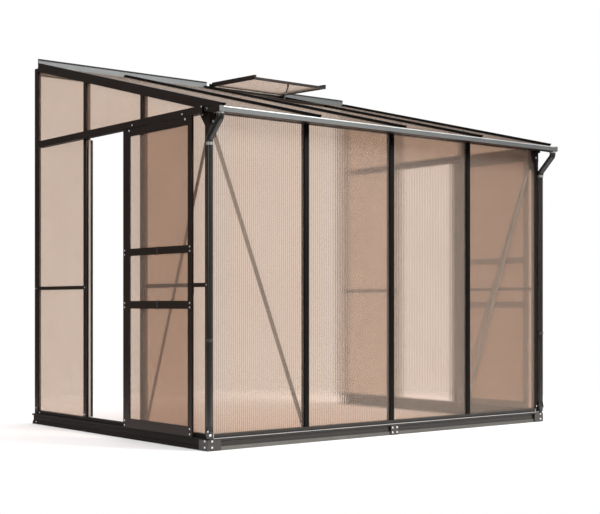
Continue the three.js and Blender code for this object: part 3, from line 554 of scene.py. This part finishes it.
def vent_sheet():
    """Sheet of the roof vent's lid, its flutes up the lid's slope."""
    low, high = node_box("vent_sheet")
    middle = (low + high) / 2
    half_run = ((high[1] - low[1]) / 2 - SHEET_THICK / 2 * math.sin(LID_TILT)) / math.cos(LID_TILT)
    glaze("fluted_vent", "vent_sheet", "roof_vent", (low[0], high[0]), level(-half_run), level(half_run),
          sloped(LID_TILT, middle[1], middle[2]))


HINGE_SETBACK = 53.0
HINGE_RISE = 8.5
LID_STRIP_MARGIN = 14.0
LID_STRIP_FRONT = -25.5
LID_STRIP_REAR = -9.0
LID_STRIP_TOP = -8.4
LID_STRIP_THICK = 1.8


def lid_highlight_strip():
    """Pale strip under the lid's rear rail, a painted highlight: a thin rectangle pushed along the lid,
    sloped as the lid is.
    """
    hinge_y = PLATE_FRONT - HINGE_SETBACK
    on_lid = sloped(LID_TILT, hinge_y, roof_z(hinge_y, BAR_OUT + HINGE_RISE))
    outline = rectangle(LID_STRIP_FRONT, LID_STRIP_TOP, LID_STRIP_REAR, LID_STRIP_TOP - LID_STRIP_THICK)
    strip = plate(outline, VENT_LEFT + LID_STRIP_MARGIN, VENT_RIGHT - LID_STRIP_MARGIN,
                  lambda along, rise, x: on_lid(x, along, rise), STRIP_EASE)
    add("lid_highlight_strip", strip, PAINTED_HIGHLIGHT, "roof_vent", smooth=False)


# Bolts and screws

TO_FRONT = (0, -1, 0)
TO_REAR = (0, 1, 0)
DOWN = (0, 0, -1)

# Radius and height of each ring of a washer and of a hexagon head, at size 1.
WASHER = np.array([(7.0, 0.0), (7.0, 1.1), (6.4, 1.5)])
WASHER_SIDES = 24
HEXAGON = np.array([(5.4, 1.4), (5.4, 4.6), (4.6, 5.3)])
HEXAGON_SIDES = 6

DOME_RADIUS = 5.0
DOME_RIM = 0.6
DOME_HEIGHT = 2.6
DOME_SHARE = 0.94
DOME_RINGS = 6
DOME_SIDES = 20

# Sizes of heads, as shares of the full one.
TINY_SHARE = 0.6
SMALL_SHARE = 0.7
MEDIUM_SHARE = 0.8
LARGE_SHARE = 0.9
FULL_SHARE = 1.0
BROAD_SHARE = 1.1
BROADEST_SHARE = 1.3


def bolt(centre, normal, size):
    """Hexagon head on a washer: a flat turned disc, and a six-sided ring that narrows at its crown."""
    washer = turned(centre, normal, WASHER * size, WASHER_SIDES)
    head = turned(centre, normal, HEXAGON * size, HEXAGON_SIDES)
    return [washer, head]


def screw(centre, normal, size):
    """Domed head: the radius falls as a quarter of an ellipse while the height rises."""
    t = np.linspace(0, math.pi / 2 * DOME_SHARE, DOME_RINGS)
    radius = DOME_RADIUS * np.append(1.0, np.cos(t))
    height = np.append(0.0, DOME_RIM + DOME_HEIGHT * np.sin(t))
    return [turned(centre, normal, np.column_stack([radius, height]) * size, DOME_SIDES)]


def on_end(head, side, out, spots, size):
    """Heads that point out of an end wall, `out` from its sheets, at spots given by depth and height."""
    heads = []
    for y, z in spots:
        heads += head((end_x(side, out), y, z), (side, 0, 0), size)
    return heads


def on_front(head, xs, y, zs, size):
    """Heads that point to the front, one at each x and height."""
    heads = []
    for x in xs:
        for z in zs:
            heads += head((x, y, z), TO_FRONT, size)
    return heads


# Plates of the base

PLATE_THICK = 2.0
PLATE_FACE = BASE_OUT + PLATE_THICK
CORNER_LEG = 46.0
CORNER_FOOT, CORNER_TOP = 1.5, 55.0
CORNER_BOLT_HEIGHTS = (18.0, 49.0)
CORNER_BOLT_OUT = 8.0
CORNER_BOLT_DEPTH = -7.0
SPLICE_HALF = 28.0
SPLICE_FOOT, SPLICE_TOP = 3.0, 54.0
SPLICE_BOLT_HALF = 17.0
SPLICE_BOLT_HEIGHTS = (15.0, 42.0)


def corner_plate(end, side):
    """Angle plate round a front corner of the base, an L pushed up, with two bolts in each leg."""
    angle = [(PLATE_FACE, -PLATE_FACE), (-CORNER_LEG, -PLATE_FACE), (-CORNER_LEG, -BASE_OUT),
             (BASE_OUT, -BASE_OUT), (BASE_OUT, CORNER_LEG), (PLATE_FACE, CORNER_LEG)]
    corner = plate(angle, CORNER_FOOT, CORNER_TOP, upright(side))
    add(f"corner_plate_{end}", corner, PLATE_METAL, "frame", smooth=False)
    spots = [(CORNER_BOLT_DEPTH, z) for z in CORNER_BOLT_HEIGHTS]
    heads = on_front(bolt, [end_x(side, CORNER_BOLT_OUT)], -PLATE_FACE, CORNER_BOLT_HEIGHTS, MEDIUM_SHARE)
    heads += on_end(bolt, side, PLATE_FACE, spots, MEDIUM_SHARE)
    add(f"corner_bolts_{end}", merged(heads), ZINC, "frame")


def splice_plate():
    """Flat plate over the joint in the middle of the front base rail, with four bolts."""
    middle = LENGTH / 2
    outline = rectangle(middle - SPLICE_HALF, SPLICE_FOOT, middle + SPLICE_HALF, SPLICE_TOP)
    add("splice_plate", plate(outline, -BASE_OUT, -PLATE_FACE, forward), PLATE_METAL, "frame", smooth=False)
    xs = (middle - SPLICE_BOLT_HALF, middle + SPLICE_BOLT_HALF)
    heads = on_front(bolt, xs, -PLATE_FACE, SPLICE_BOLT_HEIGHTS, MEDIUM_SHARE)
    add("splice_bolts", merged(heads), ZINC, "frame")


# Gussets under the eaves, and the screws beside them on the track and on the gutter's end

GUSSET_THICK = 2.0
GUSSET_FACE = FACE_OUT + 0.2
GUSSET_TOP = 1682.5
GUSSET_TIP = 1676.0
GUSSET_FOOT = 1618.0
GUSSET_BACK = -11.0
GUSSET_REACH = 62.0
GUSSET_TIP_REACH = 58.0
GUSSET_FOOT_REACH = 14.0
GUSSET = [(GUSSET_BACK, GUSSET_TOP), (GUSSET_REACH, GUSSET_TOP), (GUSSET_TIP_REACH, GUSSET_TIP),
          (GUSSET_FOOT_REACH, GUSSET_FOOT), (GUSSET_BACK, GUSSET_FOOT)]
GUSSET_END_BOLT = (43.0, 1684.0)
GUSSET_FRONT_BOLT_IN = 12.7
GUSSET_FRONT_BOLT_HEIGHT = 1647.4
TRACK_TIP_SCREW = (6.5, 1716.3)
TRACK_SCREWS = ((179.0, 1698.8), (663.5, 1697.3))
GUTTER_END_SCREW = (-37.0, 1702.5)
GUTTER_END_SKIN = 1.5


def gussets(end, side):
    """Two flat plates at a corner post's head, one on the end wall and one on the front, with their bolts."""
    face = GUSSET_FACE + GUSSET_THICK
    on_wall = plate(GUSSET, GUSSET_FACE, face, out_of_end(side))
    add(f"gusset_{end}_end", on_wall, FRAME_PAINT, "frame", smooth=False)
    at_front = plate(GUSSET, -GUSSET_FACE, -face, forward_at_end(side))
    add(f"gusset_{end}_front", at_front, FRAME_PAINT, "frame", smooth=False)
    front_x = end_x(side, -GUSSET_FRONT_BOLT_IN)
    heads = on_end(bolt, side, face, [GUSSET_END_BOLT], BROAD_SHARE)
    heads += on_front(bolt, [front_x], -face, [GUSSET_FRONT_BOLT_HEIGHT], FULL_SHARE)
    heads += on_end(screw, side, TRACK_REACH, [TRACK_TIP_SCREW], MEDIUM_SHARE)
    heads += on_end(screw, side, GUTTER_OVERHANG + GUTTER_END_SKIN, [GUTTER_END_SCREW], TINY_SHARE)
    heads += on_end(screw, side, TRACK_REACH, TRACK_SCREWS, LARGE_SHARE)
    add(f"gusset_bolts_{end}", merged(heads), ZINC, "frame")


# Screws of the posts' feet, of the girts and of the rear corner, and bolts of the braces

FRONT_POST_SCREW = 12.0
FRONT_POST_SCREW_IN = 4.0
REAR_POST_SCREW = DEPTH - 16.0
FOOT_SCREW_HEIGHT = 97.0
GIRT_SCREW_HEIGHT = 829.5
REAR_SILL_SCREW = (1796.0, 69.5)
REAR_KICK_SCREW = (1815.0, 14.0)
REAR_KICK_OUT = 25.3
REAR_KICK_LEAN = 0.2
BRACE_FACE = FACE_IN + 3.3
BRACE_TOP_IN = 34.0
BRACE_TOP_HEIGHT = 1612.0
BRACE_FOOT_HEIGHT = 84.0


def wall_screws(end, side):
    """Screws on the outside of an end wall and at the foot of its corner post."""
    bars = (END_BAY, 2 * END_BAY, REAR_POST_SCREW)
    front_x = end_x(side, -FRONT_POST_SCREW_IN)
    girts = [(y, GIRT_SCREW_HEIGHT) for y in (FRONT_POST_SCREW, *bars)]
    feet = [(y, FOOT_SCREW_HEIGHT) for y in bars]
    heads = on_end(screw, side, FACE_OUT, [(FRONT_POST_SCREW, FOOT_SCREW_HEIGHT)], LARGE_SHARE)
    heads += on_front(screw, [front_x], -FACE_OUT, [FOOT_SCREW_HEIGHT], LARGE_SHARE)
    heads += on_end(screw, side, FACE_OUT, girts, SMALL_SHARE)
    heads += on_end(screw, side, FACE_OUT, [*feet, REAR_SILL_SCREW], MEDIUM_SHARE)
    kick_face = (side, 0, REAR_KICK_LEAN)
    heads += screw((end_x(side, REAR_KICK_OUT), *REAR_KICK_SCREW), kick_face, MEDIUM_SHARE)
    add(f"wall_screws_{end}", merged(heads), ZINC, "frame")


def brace_bolts(end, side):
    """Bolts at both ends of the two braces of a corner, on their inner faces."""
    heads = []
    for inward, height in ((BRACE_TOP_IN, BRACE_TOP_HEIGHT), (END_BAY, BRACE_FOOT_HEIGHT)):
        heads += bolt((end_x(side, -BRACE_FACE), inward, height), (-side, 0, 0), MEDIUM_SHARE)
    for inward, height in ((BRACE_TOP_IN, BRACE_TOP_HEIGHT), (BAY, BRACE_FOOT_HEIGHT)):
        heads += bolt((end_x(side, -inward), BRACE_FACE, height), TO_REAR, MEDIUM_SHARE)
    add(f"brace_bolts_{end}", merged(heads), ZINC, "frame")


# Door leaves and doorways

HANGER_SCREW_HEIGHT = 1670.0
HANGER_SCREWS = (DOOR_REAR - 62.0, DOOR_FRONT + 60.0)
STILE_SCREWS = (DOOR_FRONT + 18.0, DOOR_REAR - 15.0)
RAIL_SCREW_HEIGHTS = (1024.0, 1001.0, 739.0, 716.0, 102.0, 76.0)
MIDDLE_RAILS = ((709.0, 750.0), (993.0, 1032.0))
CLIP_FRONT, CLIP_REAR = 409.0, 419.0
CLIP_LAP = 5.0
CLIP_THICK = 1.6
STOP_Y = 2 * END_BAY - BAR_HALF
STOP_FOOT, STOP_TOP = SILL + 1.0, TRACK_BOTTOM - 2.0
STOP_OUT, STOP_IN = -6.0, -17.5
STOP_NEAR, STOP_FAR = -1.5, -0.1
ANGLE_OUT, ANGLE_IN = -18.2, -34.0
ANGLE_THICK = 1.6
ANGLE_LEG = 22.0


def door_screws(end, side):
    """Screws on the face of a leaf: two at its hangers, and one where each rail meets a stile."""
    hangers = [(y, HANGER_SCREW_HEIGHT) for y in HANGER_SCREWS]
    corners = [(y, z) for z in RAIL_SCREW_HEIGHTS for y in STILE_SCREWS]
    heads = on_end(screw, side, DOOR_OUT, hangers, BROAD_SHARE)
    heads += on_end(screw, side, DOOR_OUT, corners, MEDIUM_SHARE)
    add(f"door_screws_{end}", merged(heads), ZINC, f"door_{end}")


def door_clips(end, side):
    """Flat clips over the middle of the two middle rails of a leaf."""
    clips = []
    for bottom, top in MIDDLE_RAILS:
        outline = rectangle(CLIP_FRONT, bottom - CLIP_LAP, CLIP_REAR, top + CLIP_LAP)
        clips.append(plate(outline, DOOR_OUT, DOOR_OUT + CLIP_THICK, out_of_end(side)))
    add(f"door_clips_{end}", merged(clips), PLATE_METAL, f"door_{end}", smooth=False)


def door_stop(end, side):
    """Light strip on the doorway's rear bar and a dark angle on its inner face, both pushed up."""
    outline = rectangle(STOP_OUT, STOP_Y + STOP_NEAR, STOP_IN, STOP_Y + STOP_FAR)
    strip = plate(outline, STOP_FOOT, STOP_TOP, upright(side), THIN_EASE)
    add(f"door_stop_{end}", strip, PALE_STRIP, "frame", smooth=False)
    inner, far, tip = ANGLE_OUT - ANGLE_THICK, STOP_Y + ANGLE_THICK, STOP_Y + ANGLE_LEG
    angle = [(ANGLE_OUT, STOP_Y), (ANGLE_IN, STOP_Y), (ANGLE_IN, far), (inner, far),
             (inner, tip), (ANGLE_OUT, tip)]
    bar = plate(angle, STOP_FOOT, STOP_TOP, upright(side), THIN_EASE)
    add(f"door_angle_{end}", bar, FRAME_PAINT, "frame", smooth=False)


# Downpipes

PIPE_OUT = 19.0
PIPE_FRONT = -25.0
PIPE_RADIUS = 14.3
PIPE_WALL = 1.5
PIPE_FOOT = 120.0
OUTLET_FRONT = -120.0
OUTLET_BOTTOM = GUTTER_FLOOR - SEAT
NECK_RADIUS = 18.0
NECK_WALL = 1.6
NECK_LAP = 6.0
ELBOW_DROP = 2.0
BEND = 26.0
BEND_POINTS = 9
LEAN = math.pi / 4

# Radius and height of each ring: of the shoe above the ground, of the others down from their upper edge.
SHOE = np.array([(16.0, 124.0), (16.6, 112.0), (18.8, 104.0), (20.0, 98.0), (19.4, 90.0), (13.0, 63.5)])
SHOE_WALL = 1.2
COLLAR = [(PIPE_RADIUS + 2, 0), (PIPE_RADIUS + 3, 1.2), (PIPE_RADIUS + 3, 19.5), (PIPE_RADIUS + 2, 20.8),
          (PIPE_RADIUS + 0.1, 21.0)]
COLLAR_LAP = 0.5
TOP_RING = [(18.2, 0), (19.6, 0.6), (19.6, 9.0), (18.2, 10.0)]
BAND = [(PIPE_RADIUS + 0.2, 0), (PIPE_RADIUS + 1.7, 0.4), (PIPE_RADIUS + 1.7, 15.6),
        (PIPE_RADIUS + 0.2, 16.0)]
BAND_HEIGHT = 560.0

# Place of each screw on the shoe, outwards, in depth and in height, then the way it faces and its size.
SHOE_SCREWS = (
    ((24.95, -41.0, 81.0), (0.35, -0.94), BROADEST_SHARE),
    ((34.6, -34.7, 99.0), (0.85, -0.53), MEDIUM_SHARE),
)


def bend(corner, start, end):
    """Points y, z of an arc of radius BEND round a corner. A heading h is measured from straight down. On the
    arc y changes by the radius times the change of cos h, and z by the radius times the change of sin h."""
    turn = end - start
    reach = BEND * abs(math.tan(turn / 2))
    heading = start + turn * np.linspace(0, 1, BEND_POINTS)
    radius = math.copysign(BEND, turn)
    y = corner[0] - reach * math.sin(start) + radius * (math.cos(start) - np.cos(heading))
    z = corner[1] + reach * math.cos(start) - radius * (np.sin(heading) - math.sin(start))
    return np.stack([y, z], 1)


def downpipe(end, side):
    """Swan-neck from the gutter's outlet back to the corner, straight pipe and tapered shoe: circles along a
    path. The collars and the band are turned rings round it."""
    x = end_x(side, PIPE_OUT)
    upper = OUTLET_BOTTOM - ELBOW_DROP - BEND
    lower = upper - (PIPE_FRONT - OUTLET_FRONT)
    first = bend((OUTLET_FRONT, upper), 0.0, LEAN)
    second = bend((PIPE_FRONT, lower), LEAN, 0.0)
    foot = second[-1, 1]
    mouth, lap = (OUTLET_FRONT, OUTLET_BOTTOM), (PIPE_FRONT, foot - NECK_LAP)
    path = np.concatenate([[mouth], first, second, [lap]])
    neck = hollow_pipe(np.insert(path, 0, x, axis=1), np.full(len(path), NECK_RADIUS), NECK_WALL)
    straight_path = [(x, PIPE_FRONT, z) for z in (foot, PIPE_FOOT)]
    straight = hollow_pipe(straight_path, [PIPE_RADIUS] * 2, PIPE_WALL)
    shoe = hollow_pipe([(x, PIPE_FRONT, z) for z in SHOE[:, 1]], SHOE[:, 0], SHOE_WALL)
    collar = turned((x, PIPE_FRONT, foot + COLLAR_LAP), DOWN, COLLAR, PIPE_SIDES)
    top_ring = turned((x, OUTLET_FRONT, OUTLET_BOTTOM), DOWN, TOP_RING, PIPE_SIDES)
    band = turned((x, PIPE_FRONT, BAND_HEIGHT), DOWN, BAND, PIPE_SIDES)
    pipe = merged([neck, straight, shoe])
    add(f"pipe_{end}", pipe, PIPE_PAINT, "frame", replaces=[f"downpipe_{end}"])
    add(f"pipe_collars_{end}", merged([collar, top_ring]), COLLAR_METAL, "frame")
    add(f"pipe_band_{end}", band, PLATE_METAL, "frame")


def shoe_screws(end, side):
    """Two screws on the shoe of a downpipe."""
    heads = []
    for (out, y, z), (outward, rearward), size in SHOE_SCREWS:
        heads += screw((end_x(side, out), y, z), (side * outward, rearward, 0), size)
    add(f"shoe_screws_{end}", merged(heads), ZINC, "frame")


# Sills, gutter and ridge, with painted highlights, painted light and painted shade

JOINT_OUTER, JOINT_INNER = 13.0, 16.5
JOINT_FOOT, JOINT_TOP = 62.5, 80.5
JOINT_GAP = 0.1
JOINT_THICK = 1.2

COVER_INNER = 15.0
COVER_GAP = 0.1
COVER_SKIN = 1.2
COVER_RISE = 1.0
COVER_FLAT = 59.0
COVER_FLAT_INSIDE = 58.6
COVER_KINK = -40.0
COVER_KINK_INSIDE = -40.5
COVER_REAR = -12.3
COVER_BACK = 14.8
COVER_KINK_TOP = 15.8
COVER_BACK_TOP = 16.2

RIDGE_SETBACK = 10.0
RIDGE_RISE = 32.0
RIDGE_RUNS = ((10.0, VENT_LEFT + 18.0), (VENT_RIGHT + 10.0, LENGTH + 12.0))
RIDGE_CAP = rectangle(-1.2, -9.0, 10.0, 1.2)

LIP_MARGIN = 2.0
LIP = [(-30.6, 61.0), (-28.6, 62.9), (-26.6, 62.9), (-26.6, 62.1), (-28.2, 62.1), (-29.9, 60.6)]
BRIM_OVERHANG = 14.0
BRIM_OUT, BRIM_GAP, BRIM_IN = 1.4, 0.1, 4.4
BRIM_DROP, BRIM_LIFT, BRIM_SLOPE = 5.0, 0.2, 1.4
KICK_MARGIN = 50.0
KICK = [(-28.4, 0.6), (-24.5, 19.9), (-24.1, 19.9), (-28.0, 0.6)]


def sill_joint_highlight(end, side):
    """Thin bright upright where the front sill meets the corner post: a painted highlight."""
    outline = rectangle(JOINT_OUTER, JOINT_FOOT, JOINT_INNER, JOINT_TOP)
    start = -FACE_OUT - JOINT_GAP
    joint = plate(outline, start, start - JOINT_THICK, forward_at_end(side), THIN_EASE)
    add(f"sill_joint_highlight_{end}", joint, PAINTED_HIGHLIGHT, "frame", smooth=False)


def gutter_end(end, side):
    """Cover that wraps the gutter's end, a bent strip pushed outwards, and the flat plate that closes it."""
    front, floor, top = -GUTTER_REACH, GUTTER_FLOOR, GUTTER_TOP + COVER_RISE
    outside = [(front - COVER_SKIN, top), (front - COVER_SKIN, floor - COVER_SKIN),
               (front + COVER_FLAT, floor - COVER_SKIN), (COVER_KINK, floor + COVER_BACK),
               (COVER_REAR, floor + COVER_BACK)]
    inside = [(COVER_REAR, floor + COVER_BACK_TOP), (COVER_KINK_INSIDE, floor + COVER_KINK_TOP),
              (front + COVER_FLAT_INSIDE, floor - COVER_GAP), (front - COVER_GAP, floor - COVER_GAP),
              (front - COVER_GAP, top)]
    cover = plate(outside + inside, COVER_INNER, GUTTER_OVERHANG, out_of_end(side), FOIL_EASE)
    add(f"gutter_cover_{end}", cover, TRIM, "frame", smooth=False)
    start, stop = GUTTER_OVERHANG + COVER_GAP, GUTTER_OVERHANG + GUTTER_END_SKIN
    # the closing plate's dark paint is painted shade on the gutter's end
    closing = plate(outside + [(COVER_REAR, top)], start, stop, out_of_end(side), STRIP_EASE)
    add(f"gutter_shaded_end_{end}", closing, FRAME_PAINT, "frame", smooth=False)


def ridge_shade_edge():
    """Dark edge of painted shade on the wall plate's upstand: a rectangle pushed along the ridge, left out
    behind the vent.
    """
    corner = np.array([DEPTH - RIDGE_SETBACK, roof_z(PLATE_FRONT, BAR_OUT) + RIDGE_RISE])
    cap = corner + RIDGE_CAP
    runs = [plate(cap, left, right, along_front, SOFT_EASE) for left, right in RIDGE_RUNS]
    add("ridge_shade_edge", merged(runs), SHADE_BLACK, "frame", smooth=False)


def highlight_strips():
    """Thin folded strips along the lip of the front base rail and along the brim of the gutter: painted
    highlights.
    """
    front, top = -GUTTER_REACH, GUTTER_TOP
    brim = [(front - BRIM_OUT, top - BRIM_DROP), (front - BRIM_OUT, top + BRIM_LIFT),
            (front + BRIM_IN, top + BRIM_SLOPE), (front + BRIM_IN, top + BRIM_GAP),
            (front - BRIM_GAP, top + BRIM_GAP), (front - BRIM_GAP, top - BRIM_DROP)]
    edges = [
        plate(LIP, LIP_MARGIN, LENGTH - LIP_MARGIN, along_front, FOIL_EASE),
        plate(brim, -BRIM_OVERHANG, LENGTH + BRIM_OVERHANG, along_front, FOIL_EASE),
    ]
    add("highlight_strips", merged(edges), PAINTED_HIGHLIGHT, "frame", smooth=False)


def lit_front_kick():
    """Pale skin on the sloping foot of the front base rail: painted light."""
    kick = plate(KICK, KICK_MARGIN, LENGTH - KICK_MARGIN, along_front, FOIL_EASE)
    add("lit_front_kick", kick, LIT_KICK_METAL, "frame", smooth=False)


finish_nodes()
front_sheets()
for end, side in ENDS:
    end_sheets(end, side)
    door_sheet(end, side)
roof_sheets()
vent_sheet()
lid_highlight_strip()
splice_plate()
for end, side in ENDS:
    corner_plate(end, side)
    gussets(end, side)
    wall_screws(end, side)
    brace_bolts(end, side)
    door_screws(end, side)
    door_clips(end, side)
    door_stop(end, side)
    downpipe(end, side)
    shoe_screws(end, side)
    sill_joint_highlight(end, side)
    gutter_end(end, side)
ridge_shade_edge()
highlight_strips()
lit_front_kick()


# Stage, with its sizes in metres

FLOOR_HALF = 14.0
FLOOR_COLOUR = (0.93, 0.93, 0.93, 1)
FADE = {"From Min": 1.9, "From Max": 3.4}
SEEN_WHITE = {"Color": (1, 1, 1, 1), "Strength": 1.0}
SKY_COLOUR = (0.98, 0.98, 1.0, 1)
SKY_GLOW = {"From Min": 0.12, "From Max": 0.75, "To Min": 0.06, "To Max": 1.5}

# Name, place, target, width and watts of each lamp.
LAMPS = (
    ("key", (3.2, -6.2, 5.0), (0, 0, 0.8), 3.0, 620),
    ("fill", (-6.0, -2.5, 2.8), (0, 0, 1.0), 3.5, 70),
)


def pale_floor():
    """Flat floor that turns clear with the distance from its middle, so that it has no edge."""
    mat, nodes, links = material("pale_floor")
    out = put(nodes, "ShaderNodeOutputMaterial")
    coords = put(nodes, "ShaderNodeTexCoord")
    reach = put(nodes, "ShaderNodeVectorMath", operation="LENGTH")
    fade = put(nodes, "ShaderNodeMapRange", FADE, interpolation_type="SMOOTHSTEP")
    pale = put(nodes, "ShaderNodeBsdfDiffuse", {"Color": FLOOR_COLOUR})
    gone = put(nodes, "ShaderNodeBsdfTransparent")
    mix = put(nodes, "ShaderNodeMixShader")
    wire(
        links,
        (coords, "Object", reach, 0),
        (reach, "Value", fade, "Value"),
        (fade, "Result", mix, 0),
        (pale, "BSDF", mix, 1),
        (gone, "BSDF", mix, 2),
        (mix, "Shader", out, "Surface"),
    )
    mesh = bpy.data.meshes.new("floor")
    corners = [(x, y, 0) for x, y in rectangle(-FLOOR_HALF, -FLOOR_HALF, FLOOR_HALF, FLOOR_HALF)]
    mesh.from_pydata(corners, [], [[0, 1, 2, 3]])
    mesh.materials.append(mat)
    floor = bpy.data.objects.new("floor", mesh)
    bpy.context.scene.collection.objects.link(floor)


def white_world():
    """White where the camera looks, straight or through a sheet, and else a glow that grows with height."""
    world = bpy.data.worlds.new("white")
    bpy.context.scene.world = world
    world.use_nodes = True
    nodes, links = world.node_tree.nodes, world.node_tree.links
    nodes.clear()
    out = put(nodes, "ShaderNodeOutputWorld")
    seen = put(nodes, "ShaderNodeBackground", SEEN_WHITE)
    coords = put(nodes, "ShaderNodeTexCoord")
    axes = put(nodes, "ShaderNodeSeparateXYZ")
    height = put(nodes, "ShaderNodeMapRange", SKY_GLOW, interpolation_type="SMOOTHSTEP")
    lit = put(nodes, "ShaderNodeBackground", {"Color": SKY_COLOUR})
    path = put(nodes, "ShaderNodeLightPath")
    looked_at = put(nodes, "ShaderNodeMath", operation="MAXIMUM")
    mix = put(nodes, "ShaderNodeMixShader")
    wire(
        links,
        (coords, "Generated", axes, "Vector"),
        (axes, "Z", height, "Value"),
        (height, "Result", lit, "Strength"),
        (path, "Is Camera Ray", looked_at, 0),
        (path, "Is Transmission Ray", looked_at, 1),
        (looked_at, "Value", mix, 0),
        (lit, "Background", mix, 1),
        (seen, "Background", mix, 2),
        (mix, "Shader", out, "Surface"),
    )


def lamps():
    """Large soft lights, each turned from its place to its target."""
    for name, spot, target, width, watts in LAMPS:
        light = bpy.data.lights.new(name, "AREA")
        light.size = width
        light.energy = watts
        lamp = bpy.data.objects.new(name, light)
        bpy.context.scene.collection.objects.link(lamp)
        lamp.location = spot
        way = np.array(target) - np.array(spot)
        heading = math.atan2(way[0], -way[1]) + math.pi
        lamp.rotation_euler = (math.acos(-way[2] / np.linalg.norm(way)), 0, heading)


# Camera, at the photograph's place: level, and turned to the right of the front wall's normal
PHOTO_WIDTH, PHOTO_HEIGHT = 600.0, 514.0
FOCAL_PIXELS = 1240.0
MIDDLE_COLUMN = 297.9
HORIZON_ROW = 304.8
SENSOR = 36.0
CAMERA_PLACE = (-3556.65, -5096.96, 729.43)
CAMERA_HEADING = math.radians(38.98)


def photo_camera():
    """Camera whose frame is the photograph's, shifted so that horizon and middle fall on the same pixels."""
    data = bpy.data.cameras.new("camera")
    data.sensor_width = SENSOR
    data.lens = FOCAL_PIXELS / PHOTO_WIDTH * SENSOR
    data.shift_x = (PHOTO_WIDTH / 2 - MIDDLE_COLUMN) / PHOTO_WIDTH
    data.shift_y = (HORIZON_ROW - PHOTO_HEIGHT / 2) / PHOTO_WIDTH
    camera = bpy.data.objects.new("camera", data)
    bpy.context.scene.collection.objects.link(camera)
    camera.location = tuple((np.array(CAMERA_PLACE) - ORIGIN) * MM)
    camera.rotation_euler = (math.pi / 2, 0, -CAMERA_HEADING)
    bpy.context.scene.camera = camera


pale_floor()
white_world()
lamps()
bpy.context.scene.view_settings.view_transform = "Standard"
photo_camera()
